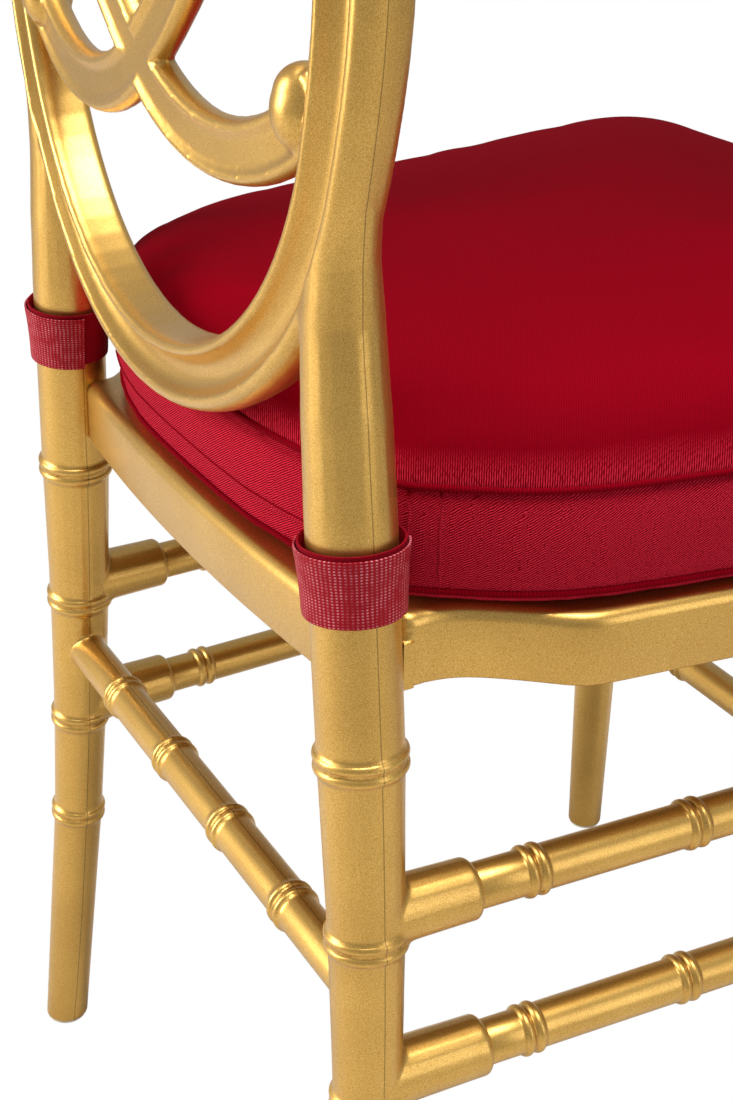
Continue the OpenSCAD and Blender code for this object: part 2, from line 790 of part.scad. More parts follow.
// The short lug where the side rail ends at the rear leg
lug_w = 5;
lug_h = 21;
lug_rise = 1.6;

module end_lug() {
    translate([seat_neck_x - apron_t, back_y - grip_r - lug_w - 5, apron_z - 1.5])
        cube([apron_t + lug_rise, lug_w, lug_h]);
}

module leg_grip_bores() {
    at_rear_leg()
        cylinder(h = 160, r = grip_r);
    for (z = seat_bolt_z)
        at_seat_bolt(apron_z + z)
            cylinder(h = 60, d = bolt_d + 2 * joint_clearance);
}

module seat_frame() color(gold) {
    difference() {
        union() {
            deck_and_apron();
            ribs();
            for (side = [0, 1])
                mirror([side, 0, 0]) {
                    leg_pillar();
                    leg_grip();
                    end_lug();
                }
        }
        for (side = [0, 1])
            mirror([side, 0, 0]) {
                leg_pillar_bores();
                leg_grip_bores();
            }
    }
}

// A socket cap bolt whose head seats at 0 and whose shank runs along -Z
module bolt(shank_l) {
    difference() {
        union() {
            cylinder(h = bolt_head_h, d = bolt_head_d);
            translate([0, 0, -shank_l])
                cylinder(h = shank_l + overlap, d = bolt_d);
        }
        translate([0, 0, bolt_head_h / 2])
            cylinder(h = bolt_head_h, d = bolt_d * 0.8, $fn = 6);
    }
}

module insert() {
    difference() {
        cylinder(h = insert_l, d = insert_d - 2 * tenon_clearance);
        translate([0, 0, -overlap])
            cylinder(h = insert_l + 2 * overlap, d = bolt_d + 2 * tenon_clearance);
    }
}

module seat_bolts() color("silver") {
    for (side = [0, 1], z = seat_bolt_z)
        mirror([side, 0, 0])
            at_seat_bolt(apron_z + z)
                translate([0, 0, bolt_pad_l + seat_clearance])
                    bolt(bolt_pad_l - insert_start - 2);
}

module seat_bolt_inserts() color("#b08d3c") {
    for (side = [0, 1], z = seat_bolt_z)
        mirror([side, 0, 0])
            at_seat_bolt(apron_z + z)
                translate([0, 0, insert_start])
                    insert();
}

module front_leg_bolts() color("silver") {
    for (side = [-1, 1])
        on_front_leg(side)
            translate([0, 0, bolt_seat_s + seat_clearance])
                bolt(bolt_seat_s - front_leg_l - top_tenon_l + insert_l - 2);
}

module front_leg_inserts() color("#b08d3c") {
    for (side = [-1, 1])
        on_front_leg(side)
            translate([0, 0, front_leg_l + top_tenon_l - insert_l])
                insert();
}

// A nylon glide: a pad under the foot with a plug in it
module glide(side, foot, foot_d) color("#e8e2d0") {
    mirror([side < 0 ? 1 : 0, 0, 0])
        translate([foot[0], foot[1], 0]) {
            cylinder(h = glide_pad_t - seat_clearance, d = foot_d - 2 * glide_inset);
            cylinder(h = glide_pad_t + glide_plug_l, d = glide_plug_d);
        }
}

// Left half of the cushion's outline in plan, round the rear leg and its strap
cushion_notch_r = rear_leg_d / 2 + 2 * tape_t + 2 * tape_clearance + strap_flare + 1.6;
cushion_leg_x = rear_x(deck_z + strap_z);
cushion_half = concat(
    [for (i = [0 : 3]) [(cushion_leg_x - cushion_notch_r - 1) * i / 3, -cushion_rear_y]],
    [for (i = [1 : 4]) let (a = 180 + 20 * i)
        [cushion_leg_x, 0] + cushion_notch_r * [cos(a), sin(a)]],
    [[seat_neck_x - cushion_inset, -cushion_notch_r - 1]],
    curve([seat_neck_x - cushion_inset, -40], [seat_neck_x - cushion_inset, -50],
        [seat_kink_x - cushion_inset, -seat_kink_y - 2], 5),
    [for (t = [0.35, 0.7])
        [seat_kink_x + (seat_front_x - seat_kink_x) * t - cushion_inset - cushion_draw * sin(180 * t),
            -seat_kink_y + (corner_start_y + seat_kink_y) * t]],
    curve([seat_front_x - 1.5 - cushion_inset, corner_start_y],
        [seat_front_x + 4 - cushion_inset, -seat_depth + front_bow + cushion_inset],
        [corner_end_x, -seat_depth + front_bow + cushion_inset - 1.5], 6),
    [for (i = [1 : 2]) let (x = corner_end_x * (1 - i / 2))
        [x, -seat_depth + cushion_inset + (front_bow - 1.5) * pow(x / corner_end_x, 2)]]
);
cushion_middle = [0, -seat_depth / 2];
cushion_reach = 200;

// Height of the top face over the upper seam, at a distance from the edge
function top_rise(d) = cushion_roll_h * sqrt(1 - pow(max(0, 1 - d / cushion_roll_w), 2))
    + (cushion_crown - cushion_roll_h) * (1 - pow(1 - d / cushion_reach, 2));

// Rows of the cushion as [inset from the outline, height over the deck]
cushion_rows = concat(
    [[9, 0.5], [3, 2.5], [0, cushion_seam_h]],
    [for (t = [0.25, 0.5, 0.75])
        [-cushion_swell * sin(180 * t), cushion_seam_h + (cushion_box_h - cushion_seam_h) * t]],
    [[0, cushion_box_h]],
    [for (d = [2, 7, 15, 28, 60, 110]) [d, cushion_box_h + top_rise(d)]]
);
// Rows of the space inside the cover
core_rows = concat(
    [[12, 0.5 + cover_t], [cover_t + 1, cushion_seam_h]],
    [[cover_t, (cushion_seam_h + cushion_box_h) / 2]],
    [[cover_t + 1, cushion_box_h - cover_t]],
    [for (d = [9, 24, 60]) [d, cushion_box_h - cover_t + top_rise(d - cover_t) * 0.97]]
);

// The top face stands higher towards the front
function fuller(z, y) = z > cushion_box_h
    ? cushion_box_h + (z - cushion_box_h) * (1 + cushion_front_rise * pow(min(1, -y / seat_depth), 2))
    : z;

// 0 where the outline passes the rear leg, 1 away from it
function swelling(p) = let (d = norm([abs(p[0]), p[1]] - [cushion_leg_x, 0]) - cushion_notch_r)
    min(1, max(0, (d - 2) / 40));

// A closed form over an outline: each row is the outline drawn towards the middle
module loft(half, rows, less) {
    path = whole(half);
    n = len(path);
    m = len(rows);
    points = concat(
        [for (row = rows, p = path)
            let (inset = (row[0] < 0 ? row[0] * swelling(p) : row[0]) + less)
            let (q = cushion_middle + (p - cushion_middle) * (1 - inset / cushion_reach))
                [q[0], q[1], fuller(row[1], q[1])
                    + (row == rows[0] ? less : row[1] > cushion_box_h / 2 ? -less : 0)]],
        [[cushion_middle[0], cushion_middle[1], rows[0][1] + less],
            [cushion_middle[0], cushion_middle[1], fuller(rows[m - 1][1] + 0.3, cushion_middle[1]) - less]]
    );
    sides = [for (j = [0 : m - 2], i = [0 : n - 1]) each
        let (a = j * n + i, b = j * n + (i + 1) % n) [[a, b, a + n], [b, b + n, a + n]]];
    ends = [for (i = [0 : n - 1]) each
        [[n * m, (i + 1) % n, i], [n * m + 1, n * (m - 1) + i, n * (m - 1) + (i + 1) % n]]];
    translate([0, back_y, deck_z])
        polyhedron(points, concat(sides, ends));
}

module cushion_cover() color(crimson) {
    difference() {
        loft(cushion_half, cushion_rows, 0);
        loft(cushion_half, core_rows, 0);
    }
}

module cushion_foam() color("#e9d9a6") {
    loft(cushion_half, core_rows, foam_clearance);
}

strap_leg_r = rear_leg_d / 2 + tape_clearance;

// A tape round the left rear leg: the +Z axis is the leg's, angles are in plan
module tape(side, inner_r, rise, start, angle) {
    mirror([side < 0 ? 1 : 0, 0, 0])
        along(rear_axis(deck_z + strap_z), rear_axis(deck_z + strap_z + 40))
            translate([0, 0, rise - strap_w / 2])
                rotate_extrude(angle = angle, start = start, $fn = 96)
                    translate([inner_r, 0])
                        polygon([
                            [0, 0], [tape_t, 0],
                            [tape_t + strap_flare, strap_w], [strap_flare, strap_w]
                        ]);
}

module strap_inner(side) color(crimson) {
    tape(side, strap_leg_r, strap_inner_rise, 0, 360);
}

module strap_outer(side) color("#b03a52") {
    tape(side, strap_leg_r + tape_t + tape_clearance, 0, 290, 250);
}

back_frame();
seat_frame();
front_leg(1);  // front_leg_left
front_leg(-1);  // front_leg_right
side_rung(1, side_rung_upper_z);  // side_rung_upper_left
side_rung(-1, side_rung_upper_z);  // side_rung_upper_right
side_rung(1, side_rung_lower_z);  // side_rung_lower_left
side_rung(-1, side_rung_lower_z);  // side_rung_lower_right
front_rung(front_rung_upper_z);  // front_rung_upper
front_rung(front_rung_lower_z);  // front_rung_lower
seat_bolts();
seat_bolt_inserts();
front_leg_bolts();
front_leg_inserts();
glide(1, rear_axis(0), rear_foot_d);  // glide_rear_left
glide(-1, rear_axis(0), rear_foot_d);  // glide_rear_right
glide(1, front_axis(0), front_foot_d);  // glide_front_left
glide(-1, front_axis(0), front_foot_d);  // glide_front_right
cushion_cover();
cushion_foam();
strap_inner(1);  // strap_inner_left
strap_inner(-1);  // strap_inner_right
strap_outer(1);  // strap_outer_left
strap_outer(-1);  // strap_outer_right
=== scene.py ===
import math

import bmesh
import bpy
import numpy as np
from bpy.props import FloatProperty, PointerProperty, StringProperty
from mathutils import Matrix, Vector


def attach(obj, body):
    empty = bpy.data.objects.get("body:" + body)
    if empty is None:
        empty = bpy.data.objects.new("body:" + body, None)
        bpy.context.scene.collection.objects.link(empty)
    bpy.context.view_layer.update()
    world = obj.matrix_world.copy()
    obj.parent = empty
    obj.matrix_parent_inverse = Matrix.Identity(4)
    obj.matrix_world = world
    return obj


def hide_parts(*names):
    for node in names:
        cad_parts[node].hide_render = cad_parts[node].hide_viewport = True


bl_info = {
    "name": "Banquet chair",
    "version": (1, 0, 0),
    "blender": (4, 5, 0),
    "location": "View3D > Sidebar > Chair",
    "description": "Looks of a gold resin banquet chair with a strapped crimson cushion",
    "category": "Object",
}

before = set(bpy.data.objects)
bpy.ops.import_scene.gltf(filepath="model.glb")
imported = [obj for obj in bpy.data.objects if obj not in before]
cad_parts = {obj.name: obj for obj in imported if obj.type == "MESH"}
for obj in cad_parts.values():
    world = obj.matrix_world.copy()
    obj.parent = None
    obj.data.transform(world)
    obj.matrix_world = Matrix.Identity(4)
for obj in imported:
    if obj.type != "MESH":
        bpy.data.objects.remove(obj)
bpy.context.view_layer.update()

MM = 0.001
BODY = "root"
# The sitter's left is +X
SIDES = (("left", 1), ("right", -1))

# Sizes and places in millimetres, the same as in the construction where it has them
BACK_Y = 180.6
DECK_Z = 431.0
APRON_Z = 400.0
APRON_T = 3.6
DECK_T = 4.0
REAR_FOOT_X = 190.5
REAR_LEAN = 0.0853
SABRE = 20.6
SABRE_TOP_Z = 380.0
REAR_FOOT_D = 24.6
REAR_LEG_D = 34.4
LEG_CLEARANCE = 0.3
RING_MID_Z = 695.0
OVAL_A = 169.0
OVAL_B = 207.6
BACK_BOW = 10.0
HALF_TURN = math.radians(2.9)
RAKE = math.radians(1.0)
SEAT_REAR_Y = 5.5
SEAT_REAR_BOW = 7.3
SEAT_NECK_X = 151.5
SEAT_KINK_X = 184.0
SEAT_KINK_Y = 85.0
SEAT_FRONT_X = 214.0
SEAT_DEPTH = 394.0
FRONT_BOW = 5.0
FRONT_FOOT_X = 212.0
FRONT_FOOT_Y = 380.0
FRONT_LEAN_X = 0.1
FRONT_LEAN_Y = 0.07
FRONT_FOOT_D = 22.8
FRONT_TOP_D = 34.0
FRONT_LEG_L = 401.0
FRONT_HOLE_D = 11.6
RUNG_D = 19.6
TENON_D = 14.0
TENON_L = 22.0
RUNG_CLEARANCE = 0.1
# How far the front legs' collars reach along a rung, from the leg's middle
COLLAR_REACH = 42.0
# Name, height, and the reach of the rear leg's collar
SIDE_RUNGS = (("upper", 307.7, 47.8), ("lower", 230.0, 53.6))
# Places of the side rungs' bead rings, from the middle of either leg
SIDE_RUNG_RINGS = (75.0, 154.0)
# Name and height
FRONT_RUNGS = (("upper", 269.7), ("lower", 192.0))
STRAP_Z = 24.0
STRAP_W = 27.0
TAPE_T = 1.1
TAPE_CLEARANCE = 0.3
STRAP_FLARE = 2.0
STRAP_INNER_RISE = 1.6
TAPE_EDGE = 0.175
UPPER_SEAM_Z = 482.0
LOWER_SEAM_Z = 439.0
FLAP_Z = 452.5
FLAP_HALF_W = 118.0
OVAL_END_R = 162.0
CHANNEL_IN = 11.7
# How high a face of the ring stands over its middle, and how deep its channel is
RING_REAR = (9.6, 7.6)
RING_FRONT = (13.0, 6.4)
# The scroll's end, from the middle of the ring, and its half axes
BOSS_X = 130.0
BOSS_Y = 0.8
BOSS_Z = -73.2
BOSS_LONG_R = 15.5
BOSS_ROUND_R = 12.0
# Heights of the legs' bead rings
RING_Z = (156.4, 222.5, 299.9, 380.0)
BACK_RUNG_Z = 269.7
RUNG_RINGS = (-99.0, -33.0, 33.0, 99.0)
# Bead rings: a bead's radius, its rise over the tube and the pitch of the pair
LEG_BEADS = (2.5, 1.8, 5.2)
RUNG_BEADS = (2.4, 1.5, 5.6)
# Stored distances to the parting line lie round this value, so that pieces without the line read as far away
PARTING_ZERO = 5000.0


# Small tools for values, meshes and nodes

def linear(colour):
    """Turns an sRGB hex colour into linear values with alpha 1."""
    parts = [int(colour[i:i + 2], 16) / 255 for i in (1, 3, 5)]
    return tuple(c / 12.92 if c <= 0.04045 else ((c + 0.055) / 1.055) ** 2.4 for c in parts) + (1.0,)


def step(low, high, value):
    """A smooth step from 0 at low to 1 at high, for arrays."""
    t = np.clip((value - low) / (high - low), 0, 1)
    return t * t * (3 - 2 * t)


def points_of(mesh):
    """A mesh's points as an array with a row for each."""
    flat = np.empty(len(mesh.vertices) * 3, np.float32)
    mesh.vertices.foreach_get("co", flat)
    return flat.reshape(-1, 3).astype(float)


def normals_of(mesh):
    """Its points' normals in the same form."""
    flat = np.empty(len(mesh.vertices) * 3, np.float32)
    mesh.vertex_normals.foreach_get("vector", flat)
    return flat.reshape(-1, 3).astype(float)


def put_points(mesh, points):
    """Moves a mesh's points to these places."""
    mesh.vertices.foreach_set("co", points.astype(np.float32).ravel())
    mesh.update()


def write_values(mesh, name, kind, values):
    """Stores a value for each point of a mesh under a name that a material reads."""
    layer = mesh.attributes.new(name, kind, "POINT")
    layer.data.foreach_set("vector" if kind == "FLOAT_VECTOR" else "value", values.astype(np.float32).ravel())


def given(thing, **values):
    """The same thing, with these settings."""
    for key, value in values.items():
        setattr(thing, key, value)
    return thing


def evaluated(obj):
    """The mesh of an object with its modifiers applied. The object itself goes."""
    graph = bpy.context.evaluated_depsgraph_get()
    mesh = bpy.data.meshes.new_from_object(obj.evaluated_get(graph))
    bpy.data.objects.remove(obj)
    return mesh


def working(mesh):
    """A passing object that holds a mesh while modifiers work on it."""
    obj = bpy.data.objects.new("working", mesh)
    bpy.context.scene.collection.objects.link(obj)
    return obj


def made_mesh(made, name):
    """The mesh of a bmesh, which is freed."""
    mesh = bpy.data.meshes.new(name)
    made.to_mesh(mesh)
    made.free()
    return mesh


def welded(node):
    """The solids of a construction node as a welded mesh."""
    made = bmesh.new()
    made.from_mesh(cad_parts[node].data)
    bmesh.ops.remove_doubles(made, verts=made.verts, dist=1e-6)
    return made_mesh(made, node)


def joined(meshes):
    """Some meshes as one, without welding them."""
    made = bmesh.new()
    for mesh in meshes:
        made.from_mesh(mesh)
    return made_mesh(made, "joined")


def moulded(mesh, voxel, passes):
    """Softens every edge and inner corner as a thick lacquer over a moulding does."""
    obj = working(mesh)
    given(obj.modifiers.new("skin", "REMESH"), mode="VOXEL", voxel_size=voxel)
    given(obj.modifiers.new("relax", "SMOOTH"), factor=0.5, iterations=passes)
    return evaluated(obj)


def boolean(mesh, others, operation):
    """Joins, cuts or intersects a mesh with others, as solids."""
    obj = working(mesh)
    tools = [working(other) for other in others]
    for tool in tools:
        given(obj.modifiers.new("solid", "BOOLEAN"), operation=operation, solver="MANIFOLD", object=tool)
    bpy.context.view_layer.update()
    result = evaluated(obj)
    for tool in tools:
        bpy.data.objects.remove(tool)
    return result


def lofted(rows, ring=False):
    """A mesh over rows of points, each a closed loop. A ring meets itself, and else both ends are capped."""
    made = bmesh.new()
    loops = [[made.verts.new(p) for p in row] for row in rows]
    count = len(rows[0])
    for low, high in zip(loops, loops[1:] + loops[:1] if ring else loops[1:]):
        for i in range(count):
            j = (i + 1) % count
            made.faces.new((low[i], low[j], high[j], high[i]))
    if not ring:
        made.faces.new(list(reversed(loops[0])))
        made.faces.new(loops[-1])
    bmesh.ops.recalc_face_normals(made, faces=made.faces)
    return made_mesh(made, "loft")


def spokes(axis, count):
    """Directions evenly spread round an axis."""
    side = axis.orthogonal().normalized()
    other = axis.cross(side)
    turns = [2 * math.pi * k / count for k in range(count)]
    return [side * math.cos(a) + other * math.sin(a) for a in turns]


def turned(start, end, profile, segments=72):
    """A turned form on the line between two points. The profile holds (distance, radius) in millimetres."""
    axis = (end - start).normalized()
    outs = spokes(axis, segments)
    rows = [[start + axis * along * MM + out * radius * MM for out in outs] for along, radius in profile]
    return lofted(rows)


def finish_piece(name, mesh, material, nodes=(), sharp=40.0):
    """Puts a finished mesh on the chair, with its material and the nodes it stands for."""
    obj = bpy.data.objects.new(name, mesh)
    bpy.context.scene.collection.objects.link(obj)
    mesh.materials.clear()
    mesh.materials.append(material)
    mesh.shade_smooth()
    if sharp:
        mesh.set_sharp_from_angle(angle=math.radians(sharp))
    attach(obj, BODY)
    if nodes:
        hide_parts(*nodes)
    return obj


def give_material(node, material):
    """Gives a construction node its material."""
    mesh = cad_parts[node].data
    mesh.materials.clear()
    mesh.materials.append(material)


def add(tree, kind, settings=None, inputs=None):
    """Adds a node with its settings, and with values or links for its inputs."""
    node = given(tree.nodes.new(kind), **(settings or {}))
    for key, value in (inputs or {}).items():
        if isinstance(value, bpy.types.NodeSocket):
            tree.links.new(value, node.inputs[key])
        else:
            node.inputs[key].default_value = value
    return node


def surface(name):
    """A material with an empty node tree, as (material, tree)."""
    material = bpy.data.materials.get(name) or bpy.data.materials.new(name)
    material.use_nodes = True
    material.node_tree.nodes.clear()
    return material, material.node_tree


def shaded(tree, inputs):
    """Ends a material's tree with a Principled shader that has these inputs."""
    shader = add(tree, "ShaderNodeBsdfPrincipled", None, inputs)
    add(tree, "ShaderNodeOutputMaterial", None, {"Surface": shader.outputs[0]})


def grains(tree, place, size_mm, detail=2.0, rough=0.5):
    """Noise whose grains have this size."""
    return add(tree, "ShaderNodeTexNoise", None, {"Vector": place, "Scale": 1000 / size_mm, "Detail": detail,
                                                  "Roughness": rough}).outputs["Fac"]


def ridges(tree, place, direction, pitch_mm, distortion, detail=1.0, detail_scale=1.0):
    """Waves whose ridges have this pitch. The node draws 20 waves over two pi at a scale of 1."""
    scale = 2 * math.pi / 20 * 1000 / pitch_mm
    return add(tree, "ShaderNodeTexWave", {"wave_type": "BANDS", "bands_direction": direction},
               {"Vector": place, "Scale": scale, "Distortion": distortion, "Detail": detail,
                "Detail Scale": detail_scale}).outputs["Fac"]


def ranged(tree, value, low, high, start=0.0, end=1.0):
    """Maps a value between low and high to one between start and end."""
    return add(tree, "ShaderNodeMapRange", None, {"Value": value, "From Min": low, "From Max": high,
                                                  "To Min": start, "To Max": end}).outputs[0]


def worked(tree, operation, first, second=0.0):
    """The result of one sum, on one or two values."""
    return add(tree, "ShaderNodeMath", {"operation": operation}, {0: first, 1: second}).outputs[0]


def mixed(tree, share, first, second):
    """A mix of two colours, each an sRGB hex or a socket."""
    first, second = (linear(c) if isinstance(c, str) else c for c in (first, second))
    return add(tree, "ShaderNodeMix", {"data_type": "RGBA"}, {0: share, 6: first, 7: second}).outputs[2]


def bumped(tree, strength, depth_mm, height):
    """A normal bent by a height."""
    return add(tree, "ShaderNodeBump", None,
               {"Strength": strength, "Distance": depth_mm * MM, "Height": height}).outputs[0]


def stored(tree, name):
    """Values that a mesh stores for its points."""
    return add(tree, "ShaderNodeAttribute", {"attribute_name": name})


def white_to_camera(tree, lit, white_kind, output_kind):
    """Shows plain white to the camera, while a shader of its own lights the chair or takes its light."""
    seen = add(tree, "ShaderNodeLightPath").outputs["Is Camera Ray"]
    white = add(tree, white_kind, None, {"Color": (1, 1, 1, 1), "Strength": 1.0})
    both = add(tree, "ShaderNodeMixShader", None, {0: seen, 1: lit.outputs[0], 2: white.outputs[0]})
    add(tree, output_kind, None, {"Surface": both.outputs[0]})


# Materials

def gold_lacquer(colours):
    """Satin gold lacquer with metal flakes, sprayed on injection-moulded resin."""
    material, tree = surface("gold_flake_lacquer_on_resin")
    place = add(tree, "ShaderNodeTexCoord").outputs["Object"]
    # Flakes of about 0.1 mm give a sandy sparkle, drawn 0.4 mm wide because finer ones don't show
    flakes = grains(tree, place, 0.4, rough=0.6)
    tint = mixed(tree, ranged(tree, flakes, 0.3, 0.72), colours.gold_deep, colours.gold_light)
    # Slow changes in how thick the lacquer lies, as sprayed by hand
    thick = ranged(tree, grains(tree, place, 38), 0.3, 0.7, 0.0, 0.18)
    # Painted shade: grooves, the gaps between beads and the ring's channel are drawn browner where the
    # surface bends inwards, mixed with the slow changes in lacquer thickness
    bend = add(tree, "ShaderNodeNewGeometry").outputs["Pointiness"]
    painted_groove_shade = ranged(tree, bend, 0.44, 0.497, 0.95, 0.0)
    layer = mixed(tree, worked(tree, "MAXIMUM", thick, painted_groove_shade), tint, colours.gold_thick_and_shade)
    # The mould's parting line, a hair's width and a little darker, on pieces that store their distance to it
    away = worked(tree, "SUBTRACT", stored(tree, "parting").outputs["Fac"], PARTING_ZERO)
    line = ranged(tree, worked(tree, "ABSOLUTE", away), 0.12, 0.34, 0.62, 0.0)
    shaded(tree, {
        "Base Color": mixed(tree, line, layer, colours.gold_line),
        "Metallic": 0.94,
        "Roughness": ranged(tree, flakes, 0.3, 0.7, 0.42, 0.31),
        "Normal": bumped(tree, 0.14, 0.1, flakes),
        # The clear top coat gives the pale, wide highlights
        "Coat Weight": 0.45,
        "Coat Roughness": 0.28,
    })
    return material


def satin_twill(colours):
    """Polyester satin twill, woven, with a soft sheen and fine slanting ribs."""
    material, tree = surface("woven_satin_twill")
    place = stored(tree, "weave").outputs["Vector"]
    # The twill's ribs lie 0.6 mm apart, drawn at 0.9 mm so that they show
    slanted = add(tree, "ShaderNodeMapping", None, {"Vector": place, "Rotation": (0, 0, math.radians(32))})
    ribs = ridges(tree, slanted.outputs[0], "Y", 0.9, 0.6, detail_scale=1.4)
    threads = ridges(tree, place, "X", 0.8, 0.8)
    weave = worked(tree, "MULTIPLY", ribs, ranged(tree, threads, 0.0, 1.0, 0.72, 1.0))
    lift = worked(tree, "MULTIPLY", weave, grains(tree, place, 0.7))
    pale = mixed(tree, ranged(tree, lift, 0.04, 0.42), colours.cloth_deep, colours.cloth_light)
    # Painted shade: the cloth is drawn darker where it's seen at a low angle, so that the far part of the top
    # looks less lit
    low = add(tree, "ShaderNodeLayerWeight", None, {"Blend": 0.5}).outputs["Facing"]
    ground = mixed(tree, ranged(tree, low, 0.5, 0.8, 0.0, 0.72), pale, colours.cloth_painted_shade)
    # Painted glint: where the cloth hangs upright, the ribs' floats are drawn in a pale red, as if they
    # caught the low light
    normal = add(tree, "ShaderNodeNewGeometry").outputs["Normal"]
    facing = add(tree, "ShaderNodeSeparateXYZ", None, {0: normal})
    upright = ranged(tree, facing.outputs["Z"], 0.1, 0.6, 0.85, 0.0)
    glint = worked(tree, "MULTIPLY", upright, ranged(tree, lift, 0.16, 0.4))
    shaded(tree, {
        "Base Color": mixed(tree, glint, ground, colours.cloth_glint),
        "Normal": bumped(tree, 0.09, 0.25, weave),
        "Roughness": 0.75,
        "Specular IOR Level": 0.015,
        "Sheen Weight": 0.03,
        "Sheen Roughness": 0.5,
        "Sheen Tint": linear(colours.cloth_sheen),
    })
    return material


def stitched_edge(colours):
    """The same cloth turned over the seam and held by overlock stitches, which show as small ticks."""
    material, tree = surface("overlocked_seam_edge")
    ticks = ridges(tree, stored(tree, "weave").outputs["Vector"], "X", 1.5, 0.5)
    shaded(tree, {
        "Base Color": mixed(tree, ticks, colours.cloth_deep, colours.cloth_light),
        "Normal": bumped(tree, 0.5, 0.3, ticks),
        "Roughness": 0.75,
        "Specular IOR Level": 0.02,
        "Sheen Weight": 0.03,
        "Sheen Tint": linear(colours.cloth_sheen),
    })
    return material


def loop_tape(colours):
    """Brushed nylon loop tape: a dull, dense pile."""
    material, tree = surface("brushed_nylon_loop_tape")
    pile = grains(tree, stored(tree, "weave").outputs["Vector"], 0.8, 3.0, 0.7)
    shaded(tree, {
        "Base Color": mixed(tree, pile, colours.tape_deep, colours.tape_light),
        "Normal": bumped(tree, 0.6, 0.4, pile),
        "Roughness": 0.8,
        "Specular IOR Level": 0.08,
        "Sheen Weight": 0.1,
        "Sheen Tint": linear(colours.cloth_sheen),
    })
    return material


def hook_tape(colours):
    """Woven nylon hook tape: rows of small hooks whose tips get a painted highlight."""
    material, tree = surface("woven_nylon_hook_tape")
    place = stored(tree, "weave").outputs["Vector"]
    # Hooks stand in rows, 1.7 mm apart along the tape and 1.2 mm across it
    along, across = (ridges(tree, place, way, pitch, 1.6, 2.0) for way, pitch in (("X", 1.7), ("Y", 1.2)))
    # Painted highlight: the hooks' tips are drawn paler
    tip = ranged(tree, worked(tree, "MULTIPLY", along, across), 0.22, 0.75)
    # In patches at random, fewer tips get the painted highlight
    shown = ranged(tree, grains(tree, place, 6), 0.36, 0.6, 0.12, 0.8)
    shaded(tree, {
        "Base Color": mixed(tree, worked(tree, "MULTIPLY", tip, shown), colours.tape_light, colours.hook_tip_highlight),
        "Normal": bumped(tree, 0.7, 0.5, tip),
        "Roughness": 0.55,
        "Specular IOR Level": 0.15,
    })
    return material


def plain_grain(name, deep, light, grain_mm, rough, metallic, strength):
    """A material with a fine two-tone grain, for the small pieces under the chair."""
    material, tree = surface(name)
    grain = grains(tree, add(tree, "ShaderNodeTexCoord").outputs["Object"], grain_mm, 3.0)
    shaded(tree, {
        "Base Color": mixed(tree, grain, deep, light),
        "Normal": bumped(tree, strength, 0.2, grain),
        "Roughness": rough,
        "Metallic": metallic,
    })
    return material


# Forms

def rear_axis(z):
    """The middle of the left rear leg at a height."""
    sweep = SABRE * (1 - z / SABRE_TOP_Z) ** 2 if z < SABRE_TOP_Z else 0
    return Vector(((REAR_FOOT_X - REAR_LEAN * z) * MM, (BACK_Y + sweep) * MM, z * MM))


def front_axis(z):
    """The middle of the left front leg at a height."""
    x, y = FRONT_FOOT_X - FRONT_LEAN_X * z, BACK_Y - FRONT_FOOT_Y + FRONT_LEAN_Y * z
    return Vector((x * MM, y * MM, z * MM))


def bent_back(mesh, sizes):
    """Bends the back's two flat halves into one round bow and stores the distance to the parting line."""
    points = points_of(mesh)
    x = np.abs(points[:, 0]) / MM
    z = points[:, 2] / MM
    radius = sizes.bow_radius * 1000
    cross = 2 * radius * math.tan(HALF_TURN)
    inner = step(450, 470, z) * (x < cross)
    outer = step(570, 660, z) * (x >= cross)
    points[:, 1] += (x * math.tan(HALF_TURN) - x * x / (2 * radius)) * (inner + outer) * MM
    put_points(mesh, points)
    # The parting line follows the middle of the legs, and higher up the middle of the raked and bowed ring
    low_z = RING_MID_Z - OVAL_B
    leg_y = BACK_Y + SABRE * np.clip(1 - z / SABRE_TOP_Z, 0, 1) ** 2
    back_y = BACK_Y + BACK_BOW - x * x / (2 * radius) + (z - low_z) * math.tan(RAKE)
    part_y = leg_y + (back_y - leg_y) * step(556, 640, z)
    height = points[:, 1] / MM - part_y
    normals = normals_of(mesh)
    over = np.stack([points[:, 0] / MM, z - RING_MID_Z], 1)
    outward = (normals[:, [0, 2]] * over).sum(1) / np.maximum(np.linalg.norm(over, axis=1), 1)
    # It shows on the ring's outside and on the legs, but not on the scrolls
    oval = np.hypot(x / OVAL_A, (z - RING_MID_Z) / OVAL_B)
    shown = np.where(z > 560, (outward > 0.2) & (oval > 1.0), True) & ~((z > 465) & (z < 600) & (x < 138))
    values = PARTING_ZERO + np.where(shown, height, height + np.sign(height) * 1000)
    write_values(mesh, "parting", "FLOAT", values)
    return mesh


def oval_path():
    """Points and outward directions along the middle line of the ring, in the plane of the back."""
    side_r = (OVAL_A ** 2 + (OVAL_B - OVAL_END_R) ** 2 - OVAL_END_R ** 2) / (2 * (OVAL_A - OVAL_END_R))
    tangent = math.atan((OVAL_B - OVAL_END_R) / (side_r - OVAL_A))
    path = []
    arcs = [
        (0, OVAL_B - OVAL_END_R, OVAL_END_R, tangent, math.pi - tangent),
        (side_r - OVAL_A, 0, side_r, math.pi - tangent, math.pi + tangent),
        (0, -OVAL_B + OVAL_END_R, OVAL_END_R, math.pi + tangent, 2 * math.pi - tangent),
        (OVAL_A - side_r, 0, side_r, -tangent, tangent),
    ]
    for x, z, radius, start, end in arcs:
        count = int(abs(end - start) * radius / 3)
        for k in range(count):
            a = start + (end - start) * k / count
            path.append((x + radius * math.cos(a), z + radius * math.sin(a), math.cos(a), math.sin(a)))
    return path


